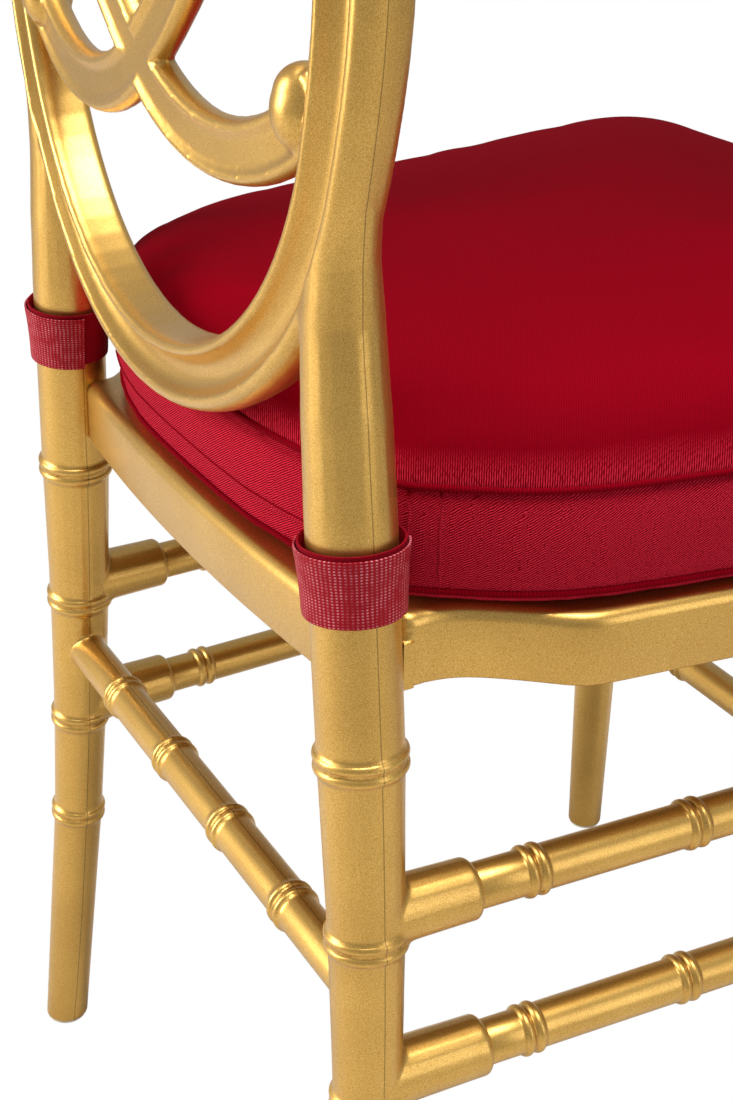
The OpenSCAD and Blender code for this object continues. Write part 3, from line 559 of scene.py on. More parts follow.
def on_back(x, y, z):
    """A point given in the plane of the back, with z from the ring's middle, on the raked and bent chair."""
    y -= abs(x) * math.tan(HALF_TURN)
    z += OVAL_B
    turned_y = y * math.cos(RAKE) + z * math.sin(RAKE)
    turned_z = z * math.cos(RAKE) - y * math.sin(RAKE)
    return Vector((x * MM, (BACK_Y + BACK_BOW + turned_y) * MM, (RING_MID_Z - OVAL_B + turned_z) * MM))


def ring_channel(way):
    """The round channel of a face of the ring, to cut with. way is 1 at the rear and -1 in front."""
    face, depth = RING_REAR if way > 0 else RING_FRONT
    half = CHANNEL_IN / 2
    section = [(half + 3.6, face + 1.5)]
    for k in range(17):
        t = 1 - k / 8
        section.append(((half + 2.4) * t, face - depth * (1 - abs(t) ** 3.2) - 0.2))
    section.append((-half - 3.6, face + 1.5))
    rows = []
    for x, z, nx, nz in oval_path():
        points = [(x + nx * (off - half), way * high, z + nz * (off - half)) for off, high in section]
        rows.append([on_back(*point) for point in points])
    return lofted(rows, ring=True)


def egg(centre, along, long_r, round_r):
    """An egg-shaped boss whose long axis lies along a direction in the plane of the back."""
    made = bmesh.new()
    bmesh.ops.create_uvsphere(made, u_segments=48, v_segments=32, radius=1)
    turn = Vector((0, 0, 1)).rotation_difference(along).to_matrix().to_4x4()
    place = Matrix.Translation(centre) @ turn @ Matrix.Diagonal((round_r * MM, round_r * MM, long_r * MM, 1))
    bmesh.ops.transform(made, matrix=place, verts=made.verts)
    return made_mesh(made, "egg")


def bead_pair(centre, axis, tube_r, bead, segments=96):
    """Two beads side by side round a tube, as one closed band that sinks into the tube."""
    bead_r, rise, pitch = bead
    axis = axis.normalized()
    low = tube_r - 1.2
    section = [(-pitch / 2 - bead_r - 0.3, low)]
    for k in range(-26, 27):
        d = k / 26 * (pitch / 2 + bead_r)
        section.append((d, tube_r - 0.02 + bead_height(d, bead)))
    section.append((pitch / 2 + bead_r + 0.3, low))
    rows = [[centre + (axis * d + out * r) * MM for d, r in section] for out in spokes(axis, segments)]
    return lofted(rows, ring=True)


def rear_d(z):
    """Diameter of a rear leg at a height, up to the seat."""
    share = 0.12 * z / SABRE_TOP_Z + 0.88 * (z / SABRE_TOP_Z) ** 1.7
    return REAR_FOOT_D + (REAR_LEG_D - REAR_FOOT_D) * min(share, 1)


def front_d(z):
    """Diameter of a front leg at a height, up to the seat."""
    along = (front_axis(z) - front_axis(0)).length / MM
    return FRONT_FOOT_D + (FRONT_TOP_D - FRONT_FOOT_D) * along / FRONT_LEG_L


def seat_outline(inset):
    """The seat's outline in plan, counter-clockwise from above and closely sampled, drawn in by inset."""
    rear_end = SEAT_NECK_X - 11
    end_x = SEAT_FRONT_X - 52
    half = [(x, SEAT_REAR_Y - SEAT_REAR_BOW * (x / rear_end) ** 2) for x in np.linspace(0, rear_end, 30)]
    half += [(142.5, -15), (SEAT_NECK_X, -24.3)]
    half += curve((SEAT_NECK_X, -38), (SEAT_NECK_X, -48.4), (SEAT_KINK_X, -SEAT_KINK_Y), 24)
    half += curve((SEAT_FRONT_X - 1.5, -SEAT_DEPTH + 60), (SEAT_FRONT_X + 4, -SEAT_DEPTH + FRONT_BOW),
                  (end_x, -SEAT_DEPTH + FRONT_BOW - 1.5), 40)
    half += [(x, -SEAT_DEPTH + (FRONT_BOW - 1.5) * (x / end_x) ** 2) for x in np.linspace(end_x, 0, 24)[1:]]
    path = both_halves(half)
    # The mould's corners are round: the outline is eased along its length, and less so at the rails' ends
    crisp = ((np.abs(path[:, 0]) < 160) & (path[:, 1] > -31))[:, None]
    eased = np.where(crisp, eased_loop(path, 0.8), eased_loop(path, 3.2))
    tangent = np.roll(eased, -1, 0) - np.roll(eased, 1, 0)
    tangent /= np.linalg.norm(tangent, axis=1)[:, None]
    inward = np.stack([tangent[:, 1], -tangent[:, 0]], 1)
    moved = eased + inward * inset
    # Where the inset is deeper than a corner's own radius, the crossed points are drawn straight again
    away = np.sqrt(((moved[:, None] - eased[None]) ** 2).sum(2)).min(1)
    good = away > inset * 0.98 - 0.05
    index = np.arange(len(moved))
    return np.stack([np.interp(index, index[good], moved[good, k], period=len(moved)) for k in (0, 1)], 1)


def curve(a, b, c, count):
    """Points along the round bend from a to c that heads for b."""
    return [
        tuple(a[k] * (1 - t) ** 2 + b[k] * 2 * t * (1 - t) + c[k] * t * t for k in (0, 1))
        for t in (i / count for i in range(count + 1))
    ]


def both_halves(half):
    """The closed path of a half and its mirror image, with points 2 mm apart."""
    return resampled(half + [(-x, y) for x, y in half[-2:0:-1]], 2.0)


def resampled(path, spacing):
    """A closed path with points at an even spacing."""
    path = np.asarray(path, float)
    loop = np.vstack([path, path[:1]])
    length = run_length(loop)
    count = max(8, int(length[-1] / spacing))
    at = np.linspace(0, length[-1], count, endpoint=False)
    return np.stack([np.interp(at, length, loop[:, k]) for k in range(loop.shape[1])], 1)


def eased_loop(path, spread):
    """A closed path averaged along its length, over a spread given in samples."""
    reach = int(spread * 3) + 1
    weights = np.exp(-0.5 * (np.arange(-reach, reach + 1) / spread) ** 2)
    weights /= weights.sum()
    return sum(w * np.roll(path, k, 0) for k, w in zip(range(-reach, reach + 1), weights))


def seat_row(inset, z):
    """The seat's outline as a row of points at a height."""
    return [(x * MM, (y + BACK_Y) * MM, z * MM) for x, y in seat_outline(inset)]


def seat_moulding(sizes):
    """The seat frame with its round top edge, from a smooth outline and the construction's inner parts."""
    edge = sizes.seat_edge * 1000
    outer = [(1.0, APRON_Z), (0.3, APRON_Z + 0.3), (0, APRON_Z + 1.0), (0, DECK_Z - edge)]
    for k in range(1, 9):
        a = math.radians(90 * k / 8)
        outer.append((edge - edge * math.cos(a), DECK_Z - edge + edge * math.sin(a)))
    outer.append((edge + 10, DECK_Z))
    shell = lofted([seat_row(inset, z) for inset, z in outer])
    hollow = lofted([seat_row(APRON_T, z) for z in (APRON_Z - 1, DECK_Z - DECK_T)])
    core = lofted([seat_row(APRON_T * 0.6, z) for z in (APRON_Z - 3, DECK_Z - DECK_T * 0.5)])
    inner = boolean(welded("seat_frame"), [core], "INTERSECT")
    grip = REAR_LEG_D / 2 + LEG_CLEARANCE
    bolt = FRONT_HOLE_D / 2
    holes, lugs = [], []
    for side in (1, -1):
        mirror = Vector((side, 1, 1))
        holes.append(turned(rear_axis(380) * mirror, rear_axis(460) * mirror, [(0, grip), (82, grip)]))
        low, high = front_axis(390) * mirror, front_axis(450) * mirror
        holes.append(turned(low, high, [(0, bolt), (62, bolt)], 32))
        # A small raised lug wraps the corner of each rail's end
        rows = []
        for z, less in ((399.6, 0.5), (400.1, 0), (420.2, 0), (420.6, 0.5)):
            corners = [(146 + less, -26.1 + less), (152.3 - less, -26.1 + less),
                       (152.3 - less, -21.5 - less), (146 + less, -21.5 - less)]
            rows.append([(side * x * MM, (y + BACK_Y) * MM, z * MM) for x, y in corners])
        lugs.append(lofted(rows))
    shell = boolean(shell, [hollow], "DIFFERENCE")
    shell = boolean(shell, holes, "DIFFERENCE")
    return boolean(shell, [inner] + lugs, "UNION")


def bead_height(distance, bead):
    """How far a pair of beads stands over its tube, at a distance from the middle between them."""
    bead_r, rise, pitch = bead
    best = 0.0
    for centre in (-pitch / 2, pitch / 2):
        d = abs(distance - centre)
        if d < bead_r:
            best = max(best, rise - bead_r + math.sqrt(bead_r * bead_r - d * d))
    return best


def rung_profile(first, last, rings):
    """Distances and radii of a rung between two collars, with its tenons and bead rings."""
    start, end = first + RUNG_CLEARANCE, last - RUNG_CLEARANCE
    tube, tenon = RUNG_D / 2, TENON_D / 2
    profile = [(start - TENON_L, 0.01), (start - TENON_L, tenon - 1), (start - TENON_L + 1, tenon),
               (start, tenon), (start, tube - 0.8), (start + 0.25, tube - 0.25), (start + 0.8, tube)]
    for mark in sorted(ring + d * 0.35 for ring in rings for d in range(-20, 21)):
        # The mean of three places rounds the rings' feet
        near = [mark + shift - ring for ring in rings for shift in (-0.3, 0, 0.3)]
        profile.append((mark, tube + sum(bead_height(distance, RUNG_BEADS) for distance in near) / 3))
    profile += [(end - 0.8, tube), (end - 0.25, tube - 0.25), (end, tube - 0.8), (end, tenon),
                (end + TENON_L - 1, tenon), (end + TENON_L, tenon - 1), (end + TENON_L, 0.01)]
    return profile


def cushion_outline():
    """The cushion's outline in plan: bowed at the rear, cut off at the rear legs and full along its sides."""
    half = [(0, 2.0), (30, 1.8), (60, 0.4), (85, -3.4), (104, -8.0), (120, -12.8), (133, -18.6),
            (144.6, -25.2), (151, -34.5), (158, -44.5), (164.5, -54), (170, -63.5), (176.4, -78),
            (181.3, -95), (185.8, -118), (190, -143), (194.3, -178), (199.3, -220), (204, -265),
            (208, -305), (209.8, -334)]
    end = (SEAT_FRONT_X - 52, -388)
    half += curve(half[-1], (215.5, -386.5), end, 8)[1:]
    half += [(x, -391.5 + 3.5 * (x / end[0]) ** 2) for x in (110, 60, 0)]
    return eased_loop(both_halves(half), 1.6)


def cushion_shell(sizes):
    """The sewn cover before it is filled: bottom edge, boxing and a crowned top, fuller towards the front."""
    path = cushion_outline()
    middle = np.array([0, -SEAT_DEPTH / 2])
    box_low, box_high = 8.0, UPPER_SEAM_Z - DECK_Z
    rows = [(9, 0.5), (4, 1.6), (1, 4.0), (0, box_low)]
    rows += [(-2.0 * math.sin(math.pi * t), box_low + (box_high - box_low) * t) for t in (0.2, 0.4, 0.6, 0.8)]
    rows += [(0, box_high)]
    roll_h, roll_w, crown = 23.0, 28.0, sizes.cushion_crown * 1000
    for d in (1, 3, 6, 10, 15, 21, 28, 40, 55, 75, 100, 130, 165):
        roll = roll_h * math.sqrt(1 - max(0, 1 - d / roll_w) ** 2)
        rows.append((d, box_high + roll + (crown - roll_h) * (1 - (1 - d / 200) ** 2)))
    loops = []
    for inset, z in rows:
        plan = middle + (path - middle) * (1 - inset / 200)
        fuller = 1 + 0.44 * np.minimum(1, -plan[:, 1] / SEAT_DEPTH).clip(0, 1) ** 2
        high = np.where(z > box_high, box_high + (z - box_high) * fuller, z)
        loops.append([(x * MM, (y + BACK_Y) * MM, (h + DECK_Z) * MM) for (x, y), h in zip(plan, high)])
    return lofted(loops)


def cushion_form(sizes):
    """The filled cover: the sewn form, remeshed, blown up as cloth and held near its place."""
    form = moulded(cushion_shell(sizes), (5) * MM, 2)
    rest = points_of(form)
    put_points(form, rest - normals_of(form) * MM)
    form = blown(form, sizes)
    moved = points_of(form)
    change = moved - rest
    length = np.linalg.norm(change, axis=1)
    cap = np.where(rest[:, 2] > UPPER_SEAM_Z * MM, 1.6, 1.0) * MM
    change *= np.minimum(1, cap / np.maximum(length, 1e-9))[:, None]
    moved = rest + change
    moved[:, 2] = np.maximum(moved[:, 2], (DECK_Z + 0.3) * MM)
    put_points(form, moved)
    obj = working(form)
    given(obj.modifiers.new("finer", "SUBSURF"), levels=1, render_levels=1)
    return evaluated(obj)


def blown(mesh, sizes):
    """Runs the cloth for 20 frames with the filling's pressure and without gravity."""
    scene = bpy.context.scene
    obj = working(mesh)
    cloth = obj.modifiers.new("filling", "CLOTH")
    given(cloth.settings, quality=5, mass=0.3, tension_stiffness=30, compression_stiffness=30,
          shear_stiffness=12, bending_stiffness=1.5, use_pressure=True,
          uniform_pressure_force=sizes.cushion_pressure)
    cloth.settings.effector_weights.gravity = 0
    given(cloth.point_cache, frame_start=1, frame_end=20)
    for number in range(1, 21):
        scene.frame_set(number)
    result = evaluated(obj)
    scene.frame_set(1)
    return result


def slice_loop(mesh, z):
    """The closed line where a level plane cuts the cushion, from its rear middle, evenly spaced."""
    made = bmesh.new()
    made.from_mesh(mesh)
    cut = bmesh.ops.bisect_plane(made, geom=made.verts[:] + made.edges[:] + made.faces[:],
                                 plane_co=(0, 0, z * MM), plane_no=(0, 0, 1))["geom_cut"]
    edges = {e for e in cut if isinstance(e, bmesh.types.BMEdge)}
    start = max((v for v in cut if isinstance(v, bmesh.types.BMVert)), key=lambda v: v.co.y - abs(v.co.x))
    path, here, before = [start], start, None
    while True:
        ways = [e.other_vert(here) for e in here.link_edges if e in edges]
        ways = [v for v in ways if v is not before]
        if not ways or ways[0] is start:
            break
        before, here = here, ways[0]
        path.append(here)
    points = np.array([v.co[:] for v in path])
    made.free()
    points = resampled(points, 1.2 * MM)
    for _ in range(4):
        points = (np.roll(points, 1, 0) + points * 2 + np.roll(points, -1, 0)) / 4
    if points[5, 0] > points[0, 0]:
        return points
    return np.roll(points[::-1], 1, 0)


def plan_normals(path):
    """Outward directions in plan for a closed path that runs towards +X at its rear."""
    tangent = np.roll(path, -1, 0) - np.roll(path, 1, 0)
    tangent[:, 2] = 0
    tangent /= np.linalg.norm(tangent, axis=1)[:, None]
    return np.stack([-tangent[:, 1], tangent[:, 0], np.zeros(len(path))], 1)


def cord(path, outs, sides, marks, closed):
    """A cord along a path, from its half widths outwards and sideways. It stores marks for its cloth."""
    count = len(marks) // len(path)
    turns = [2 * math.pi * k / count for k in range(count)]
    rows = [[tuple(point + out * math.cos(a) + side * math.sin(a)) for a in turns]
            for point, out, side in zip(path, outs, sides)]
    mesh = lofted(rows, closed)
    write_values(mesh, "weave", "FLOAT_VECTOR", np.array(marks))
    return mesh


def level_cord(path, outward, radius_out, radius_up, closed=True):
    """A cord that runs level, as a seam's edge does."""
    marks = [(at, 2 * math.pi * k / 12 * radius_up, 0) for at in run_length(path) for k in range(12)]
    return cord(path, outward * radius_out, np.tile([0, 0, radius_up], (len(path), 1)), marks, closed)


def upright_cord(path, out, radius):
    """A narrow welt up the boxing."""
    side = np.array([-out[1], out[0], 0])
    marks = [(k * 0.0004, point[2], 0) for point in path for k in range(8)]
    outs, sides = (np.tile(way * radius, (len(path), 1)) for way in (out, side))
    return cord(path, outs, sides, marks, False)


def run_length(path):
    """The length along a path from its start to each point."""
    return np.r_[0, np.cumsum(np.linalg.norm(np.diff(path, axis=0), axis=1))]


def weave_values(mesh, loop):
    """Where each point lies on the cover's cloth: the panels' plan, or the boxing's length and height."""
    points = points_of(mesh)
    length = run_length(loop)
    plan = loop[:, :2]
    boxing = (points[:, 2] < UPPER_SEAM_Z * MM) & (points[:, 2] > (LOWER_SEAM_Z - 3) * MM)
    values = points.copy()
    values[:, 2] = 0
    rows = np.nonzero(boxing)[0]
    for part in np.array_split(rows, max(1, len(rows) // 2000)):
        near = ((points[part, None, :2] - plan[None]) ** 2).sum(2).argmin(1)
        values[part, 0] = length[near]
        values[part, 1] = points[part, 2]
    return values


def sewn(mesh, loops):
    """Draws the cloth in along its seams."""
    points = points_of(mesh)
    normals = normals_of(mesh)
    for z, depth, width in loops:
        away = np.abs(points[:, 2] - z * MM) / MM
        side = np.clip(1.4 - np.abs(normals[:, 2]) * 1.2, 0, 1)
        points -= normals * (depth * np.exp(-(away / width) ** 2) * side * MM)[:, None]
    # At the rear, the boxing below the closure's flap lies deeper than the flap
    z = points[:, 2] / MM
    rear = step(0.5, 0.8, normals[:, 1]) * (1 - step(112, 124, np.abs(points[:, 0]) / MM))
    under = step(LOWER_SEAM_Z + 0.5, LOWER_SEAM_Z + 5, z) * (1 - step(FLAP_Z - 2.2, FLAP_Z, z))
    points[:, 1] -= rear * under * 1.3 * MM
    put_points(mesh, points)


def rear_run(loop, half_width):
    """The part of a closed line that lies along the rear, from one side to the other."""
    rear = loop[(loop[:, 1] > (BACK_Y - 40) * MM) & (np.abs(loop[:, 0]) < half_width * MM)]
    return rear[np.argsort(rear[:, 0])]


def upright_line(mesh, x, y):
    """Points up the boxing, nearest in plan to a place given before the rear leg axes."""
    spot = np.array([x, y + BACK_Y]) * MM
    points = []
    for z in np.arange(LOWER_SEAM_Z + 1, UPPER_SEAM_Z, 4.5):
        loop = slice_loop(mesh, z)
        points.append(loop[((loop[:, :2] - spot) ** 2).sum(1).argmin()])
    return np.array(points)


def tape_ring(side, inner_r, rise, start, sweep):
    """A tape round a rear leg, with rounded edges, whose upper edge stands off the leg."""
    low = rear_axis(DECK_Z + STRAP_Z)
    axis = (rear_axis(DECK_Z + STRAP_Z + 40) - low).normalized()
    across = Vector((axis.z, 0, -axis.x)).normalized()
    other = axis.cross(across)
    steps = max(24, int(sweep / 3))
    closed = sweep >= 360
    inside = []
    for k in range(13):
        t = k / 12
        inside.append((t * STRAP_W, STRAP_FLARE * t * t, TAPE_EDGE if k in (0, 12) else 0))
    section = [(up, off + eased) for up, off, eased in inside]
    section += [(up, off + TAPE_T - eased) for up, off, eased in reversed(inside)]
    rows, marks = [], []
    for i in range(steps if closed else steps + 1):
        a = math.radians(start + sweep * i / steps)
        out = across * math.cos(a) + other * math.sin(a)
        row = [low + (axis * (up - STRAP_W / 2 + rise) + out * (inner_r + off)) * MM for up, off in section]
        rows.append([tuple(point * Vector((side, 1, 1))) for point in row])
        marks += [(a * inner_r * MM, up * MM, 0) for up, _ in section]
    mesh = lofted(rows, closed)
    write_values(mesh, "weave", "FLOAT_VECTOR", np.array(marks))
    return mesh


# Values that a user may change

class ChairSizes(bpy.types.PropertyGroup):
    bow_radius: FloatProperty(name="Bow of the back", description="Radius of the back's rearward bow in plan",
                              default=1.35, min=0.8, unit="LENGTH")
    seat_edge: FloatProperty(name="Seat edge", description="Radius of the seat frame's top edge",
                             default=0.006, min=0.002, max=0.01, unit="LENGTH")
    skin: FloatProperty(name="Skin", description="Finest step of the lacquered skin on the back frame",
                        default=0.001, min=0.0006, max=0.004, unit="LENGTH")
    cushion_pressure: FloatProperty(name="Filling", description="Pressure of the filling on its cover",
                                    default=4.0, min=0.0, max=10.0)
    cushion_crown: FloatProperty(name="Crown", description="Height of the cushion's top over its upper seam",
                                 default=0.039, min=0.02, max=0.06, unit="LENGTH")
    seam_edge: FloatProperty(name="Seam edge", description="Half the width of the seams' turned edge",
                             default=0.0012, min=0.0005, max=0.003, unit="LENGTH")


def hex_colour(name, description, default):
    """A colour that a user may change, as an sRGB hex."""
    return StringProperty(name=name, description=description, default=default)


class ChairColours(bpy.types.PropertyGroup):
    gold_light: hex_colour("Gold, light", "Flakes that face the light", "#F6CD76")
    gold_deep: hex_colour("Gold, deep", "Lacquer between the flakes", "#C18D2B")
    # Also the colour of the painted shade in grooves, between beads and in the ring's channel
    gold_thick_and_shade: hex_colour("Gold, thick", "Where the lacquer lies thick", "#966012")
    gold_line: hex_colour("Parting line", "The mould's parting line", "#5A3D10")
    cloth_light: hex_colour("Cloth, light", "Tops of the twill's ribs", "#800013")
    cloth_deep: hex_colour("Cloth, deep", "Between the ribs", "#6E000C")
    # Painted shade for the cloth seen at a low angle
    cloth_painted_shade: hex_colour("Cloth, low", "The cloth seen at a low angle", "#4A0005")
    # Painted glint on the floats where the cloth hangs upright
    cloth_glint: hex_colour("Cloth, glint", "Floats that catch the light", "#F2344C")
    cloth_sheen: hex_colour("Sheen", "Tint of the cloth's sheen", "#FF2040")
    tape_light: hex_colour("Tape, light", "Tops of the tape's pile", "#9C0419")
    tape_deep: hex_colour("Tape, deep", "Depth of the tape's pile", "#5C0212")
    # Painted highlight on the hooks' tips
    hook_tip_highlight: hex_colour("Hook tips", "Tips of the hooks", "#E88C94")


class CHAIR_OT_stage(bpy.types.Operator):
    """Sets up the camera, the floor, the white surroundings and the studio lamps"""
    bl_idname = "chair.stage"
    bl_label = "Stage and camera"

    def execute(self, context):
        scene = context.scene
        scene.view_settings.view_transform = "Standard"
        lens = given(bpy.data.cameras.new("photo_view"), sensor_fit="HORIZONTAL", sensor_width=36)
        # Solved from the photograph, in its pixels: the frame's width, the focal length and the axis's offset
        photo_w, focal, off_x, off_y = 733, 1823.4, 1.2, -0.6
        lens.lens = lens.sensor_width * focal / photo_w
        lens.shift_x = off_x / photo_w
        lens.shift_y = off_y / photo_w
        camera = bpy.data.objects.new("photo_view", lens)
        scene.collection.objects.link(camera)
        yaw, pitch, roll = (math.radians(v) for v in (241.85, 26.38, 0.23))
        ahead = Vector((-math.sin(yaw) * math.cos(pitch), math.cos(yaw) * math.cos(pitch), -math.sin(pitch)))
        right = ahead.cross(Vector((0, 0, 1))).normalized()
        up = right.cross(ahead)
        turn, tip = math.cos(roll), math.sin(roll)
        right, up = right * turn + up * tip, up * turn - right * tip
        place = Matrix((right, up, -ahead)).transposed().to_4x4()
        place.translation = Vector((-0.6783, 0.2768 + BACK_Y * MM, 0.7605))
        camera.matrix_world = place
        scene.camera = camera

        world = bpy.data.worlds.new("studio")
        scene.world = world
        world.use_nodes = True
        world.node_tree.nodes.clear()
        cool = {"Color": (0.93, 0.95, 1.0, 1), "Strength": 0.42}
        around = add(world.node_tree, "ShaderNodeBackground", None, cool)
        white_to_camera(world.node_tree, around, "ShaderNodeBackground", "ShaderNodeOutputWorld")

        made = bmesh.new()
        bmesh.ops.create_circle(made, cap_ends=True, radius=3.0, segments=96)
        floor = bpy.data.objects.new("floor", made_mesh(made, "floor"))
        scene.collection.objects.link(floor)
        material, tree = surface("white_paper_floor")
        paper = add(tree, "ShaderNodeBsdfDiffuse", None, {"Color": linear("#C9C6C0")})
        white_to_camera(tree, paper, "ShaderNodeEmission", "ShaderNodeOutputMaterial")
        floor.data.materials.append(material)

        lamps = [
            # name, place, aim, width, height, power
            ("overhead_box", (-0.3, 0.1, 2.3), (0, 0, 0.45), 1.2, 0.9, 46),
            ("left_box", (0.8, 1.95, 1.1), (0, 0.1, 0.45), 0.7, 1.6, 42),
            ("right_box", (-1.9, -0.7, 1.0), (0, 0, 0.45), 0.5, 1.5, 6),
        ]
        for name, at, aim, width, height, power in lamps:
            light = bpy.data.lights.new(name, "AREA")
            given(light, shape="RECTANGLE", size=width, size_y=height, energy=power)
            lamp = bpy.data.objects.new(name, light)
            lamp.location = at
            lamp.rotation_euler = (Vector(aim) - Vector(at)).to_track_quat("-Z", "Y").to_euler()
            scene.collection.objects.link(lamp)
        return {"FINISHED"}


class CHAIR_OT_back_frame(bpy.types.Operator):
    """Makes the moulded back frame: rear legs, oval ring, scrolls and back rung in one piece"""
    bl_idname = "chair.back_frame"
    bl_label = "Back frame"

    def execute(self, context):
        sizes = context.scene.chair_sizes
        skin = sizes.skin * 1
        mesh = boolean(welded("back_frame"), [ring_channel(1), ring_channel(-1)], "DIFFERENCE")
        bosses, beads = [], []
        for side in (1, -1):
            # The scroll ends in an egg-shaped boss on the ring's inner side
            long_way = Vector((side * 0.2, 0, 1)).normalized()
            bosses.append(egg(on_back(side * BOSS_X, BOSS_Y, BOSS_Z), long_way, BOSS_LONG_R, BOSS_ROUND_R))
            mirror = Vector((side, 1, 1))
            for z in RING_Z:
                axis = (rear_axis(z + 10) - rear_axis(z)) * mirror
                beads.append(bead_pair(rear_axis(z) * mirror, axis, rear_d(z) / 2, LEG_BEADS))
        for x in RUNG_RINGS:
            centre = Vector((x * MM, rear_axis(BACK_RUNG_Z).y, BACK_RUNG_Z * MM))
            beads.append(bead_pair(centre, Vector((1, 0, 0)), RUNG_D / 2, RUNG_BEADS, 72))
        mesh = moulded(boolean(mesh, bosses, "UNION"), skin, 3)
        mesh = bent_back(joined([mesh] + beads), sizes)
        gold = gold_lacquer(context.scene.chair_colours)
        finish_piece("back_moulding", mesh, gold, ["back_frame"], 0)
        return {"FINISHED"}


class CHAIR_OT_seat_frame(bpy.types.Operator):
    """Makes the moulded seat frame with its round top edge, ribs and sockets"""
    bl_idname = "chair.seat_frame"
    bl_label = "Seat frame"

    def execute(self, context):
        mesh = seat_moulding(context.scene.chair_sizes)
        gold = gold_lacquer(context.scene.chair_colours)
        finish_piece("seat_moulding", mesh, gold, ["seat_frame"], 35)
        return {"FINISHED"}


class CHAIR_OT_front_legs(bpy.types.Operator):
    """Makes the two front legs with their bead rings and collars"""
    bl_idname = "chair.front_legs"
    bl_label = "Front legs"

    def execute(self, context):
        gold = gold_lacquer(context.scene.chair_colours)
        skin = 1.0 * MM
        for name, side in SIDES:
            mirror = Vector((side, 1, 1))
            meshes = [moulded(welded(f"front_leg_{name}"), skin, 4)]
            for z in RING_Z:
                axis = (front_axis(z + 10) - front_axis(z)) * mirror
                meshes.append(bead_pair(front_axis(z) * mirror, axis, front_d(z) / 2, LEG_BEADS))
            mesh = joined(meshes)
            finish_piece(f"front_leg_moulding_{name}", mesh, gold, [f"front_leg_{name}"], 0)
        return {"FINISHED"}


class CHAIR_OT_rungs(bpy.types.Operator):
    """Makes the side and front rungs with their bead rings and tenons"""
    bl_idname = "chair.rungs"
    bl_label = "Rungs"

    def execute(self, context):
        gold = gold_lacquer(context.scene.chair_colours)
        for level, z, collar in SIDE_RUNGS:
            for name, side in SIDES:
                mirror = Vector((side, 1, 1))
                start, end = rear_axis(z) * mirror, front_axis(z) * mirror
                length = (end - start).length / MM
                rings = [*SIDE_RUNG_RINGS, *(length - place for place in reversed(SIDE_RUNG_RINGS))]
                mesh = turned(start, end, rung_profile(collar, length - COLLAR_REACH, rings))
                node = f"side_rung_{level}_{name}"
                finish_piece(f"{node}_turning", mesh, gold, [node])
        for level, z in FRONT_RUNGS:
            start, end = front_axis(z) * Vector((-1, 1, 1)), front_axis(z)
            length = (end - start).length / MM
            rings = [length / 2 + x for x in RUNG_RINGS]
            mesh = turned(start, end, rung_profile(COLLAR_REACH, length - COLLAR_REACH, rings))
            finish_piece(f"front_rung_{level}_turning", mesh, gold, [f"front_rung_{level}"])
        return {"FINISHED"}


class CHAIR_OT_fittings(bpy.types.Operator):
    """Gives the bolts, inserts and glides their materials"""
    bl_idname = "chair.fittings"
    bl_label = "Bolts, inserts and glides"

    def execute(self, context):
        # Zinc-plated steel: cold grey with a fine matt bloom
        steel = plain_grain("zinc_plated_steel", "#9A9CA0", "#C6C8CC", 0.6, 0.34, 1.0, 0.15)
        # Turned brass: warm yellow, smooth
        brass = plain_grain("turned_brass", "#A8823A", "#C9A557", 0.8, 0.3, 1.0, 0.1)
        # Moulded nylon: cream, slightly glossy and scuffed underneath
        nylon = plain_grain("moulded_nylon", "#CFC6AE", "#E4DCC6", 1.2, 0.5, 0.0, 0.3)
        for nodes, material in (
            (("seat_bolts", "front_leg_bolts"), steel),
            (("seat_bolt_inserts", "front_leg_inserts"), brass),
            (("glide_rear_left", "glide_rear_right", "glide_front_left", "glide_front_right"), nylon),
        ):
            for node in nodes:
                give_material(node, material)
        return {"FINISHED"}


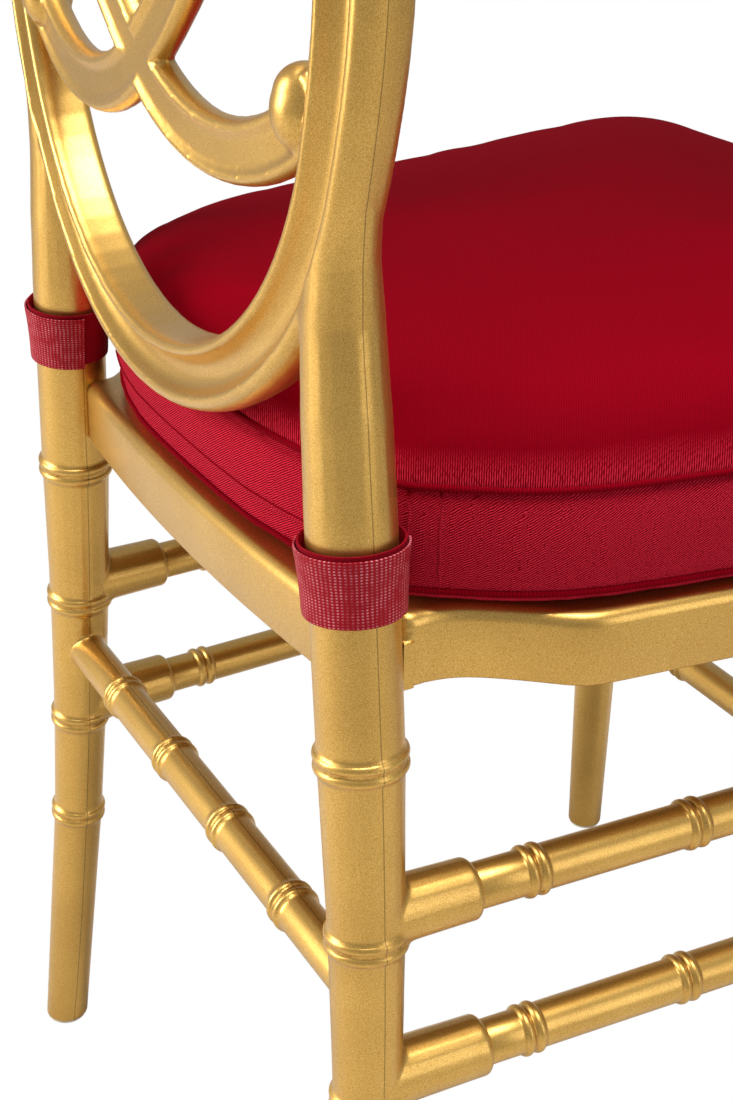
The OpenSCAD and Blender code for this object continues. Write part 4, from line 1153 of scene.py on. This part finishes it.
class CHAIR_OT_cushion(bpy.types.Operator):
    """Makes the filled cushion with its seams, turned edges and boxing joins"""
    bl_idname = "chair.cushion"
    bl_label = "Cushion"

    def execute(self, context):
        sizes, colours = context.scene.chair_sizes, context.scene.chair_colours
        cover = cushion_form(sizes)
        upper = slice_loop(cover, UPPER_SEAM_Z)
        lower = slice_loop(cover, LOWER_SEAM_Z)
        middle = slice_loop(cover, (UPPER_SEAM_Z + LOWER_SEAM_Z) / 2)
        write_values(cover, "weave", "FLOAT_VECTOR", weave_values(cover, middle))
        sewn(cover, [(UPPER_SEAM_Z - 0.8, 0.9, 1.8), (LOWER_SEAM_Z - 1.0, 1.2, 1.8)])
        cloth = satin_twill(colours)
        edge = stitched_edge(colours)
        cushion = finish_piece("cushion", cover, cloth, ["cushion_cover"], 0)
        radius = sizes.seam_edge
        for name, path in (("seam_edge_upper", upper), ("seam_edge_lower", lower)):
            outward = plan_normals(path)
            mesh = level_cord(path + outward * 0.2 * MM, outward, radius, radius * 1.15)
            finish_piece(name, mesh, edge, sharp=0)
        # The closure's flap overhangs along the rear, and the boxing is joined at both rear corners
        flap = rear_run(slice_loop(cover, FLAP_Z), FLAP_HALF_W)
        mesh = level_cord(flap, np.tile([0.0, 1.0, 0.0], (len(flap), 1)), 0.9 * MM, 1.3 * MM, closed=False)
        finish_piece("closure_flap_edge", mesh, cloth, sharp=0)
        joins = ((152.5, -36.5, 0.83, 0.55, 0.55), (145.4, -26.5, 0.6, 0.8, 0.7))
        for name, side in SIDES:
            for number, (x, y, out_x, out_y, thick) in enumerate(joins, 1):
                out = np.array([side * out_x, out_y, 0])
                mesh = upright_cord(upright_line(cover, side * x, y), out, thick * MM)
                finish_piece(f"boxing_join_{name}_{number}", mesh, cloth, sharp=0)
        # Cut foam: cream and open-celled, drawn 6 mm smaller so that it stays under the cover
        foam = plain_grain("cut_seat_foam", "#D9C48C", "#EBDDB4", 1.6, 0.9, 0.0, 0.6)
        give_material("cushion_foam", foam)
        block = moulded(welded("cushion_foam"), 6 * MM, 2)
        put_points(block, points_of(block) - normals_of(block) * 6 * MM)
        finish_piece("foam_block", block, foam, ["cushion_foam"], 0)
        return {"FINISHED"}


class CHAIR_OT_straps(bpy.types.Operator):
    """Makes the loop and hook tapes that hold the cushion to the rear legs"""
    bl_idname = "chair.straps"
    bl_label = "Straps"

    def execute(self, context):
        colours = context.scene.chair_colours
        loop, hook = loop_tape(colours), hook_tape(colours)
        inner_r = REAR_LEG_D / 2 + TAPE_CLEARANCE
        for name, side in SIDES:
            mesh = tape_ring(side, inner_r, STRAP_INNER_RISE, 0, 360)
            finish_piece(f"loop_tape_{name}", mesh, loop, [f"strap_inner_{name}"])
            mesh = tape_ring(side, inner_r + TAPE_T + TAPE_CLEARANCE, 0, 290, 250)
            finish_piece(f"hook_tape_{name}", mesh, hook, [f"strap_outer_{name}"])
        return {"FINISHED"}


class CHAIR_PT_panel(bpy.types.Panel):
    """Lists the chair's values and the steps that make it"""
    bl_label = "Banquet chair"
    bl_idname = "CHAIR_PT_panel"
    bl_space_type = "VIEW_3D"
    bl_region_type = "UI"
    bl_category = "Chair"

    def draw(self, context):
        layout = self.layout
        for group in (context.scene.chair_sizes, context.scene.chair_colours):
            for name in group.__annotations__:
                layout.prop(group, name)
        for kind in OPERATORS:
            layout.operator(kind.bl_idname)


OPERATORS = (
    CHAIR_OT_stage,
    CHAIR_OT_back_frame,
    CHAIR_OT_seat_frame,
    CHAIR_OT_front_legs,
    CHAIR_OT_rungs,
    CHAIR_OT_fittings,
    CHAIR_OT_cushion,
    CHAIR_OT_straps,
)
CLASSES = (ChairSizes, ChairColours) + OPERATORS + (CHAIR_PT_panel,)


def register():
    for kind in CLASSES:
        bpy.utils.register_class(kind)
    bpy.types.Scene.chair_sizes = PointerProperty(type=ChairSizes)
    bpy.types.Scene.chair_colours = PointerProperty(type=ChairColours)


def unregister():
    del bpy.types.Scene.chair_colours
    del bpy.types.Scene.chair_sizes
    for kind in reversed(CLASSES):
        bpy.utils.unregister_class(kind)


def main():
    register()
    bpy.ops.chair.stage()
    bpy.ops.chair.back_frame()
    bpy.ops.chair.seat_frame()
    bpy.ops.chair.front_legs()
    bpy.ops.chair.rungs()
    bpy.ops.chair.fittings()
    bpy.ops.chair.cushion()
    bpy.ops.chair.straps()


if __name__ == "__main__":
    main()
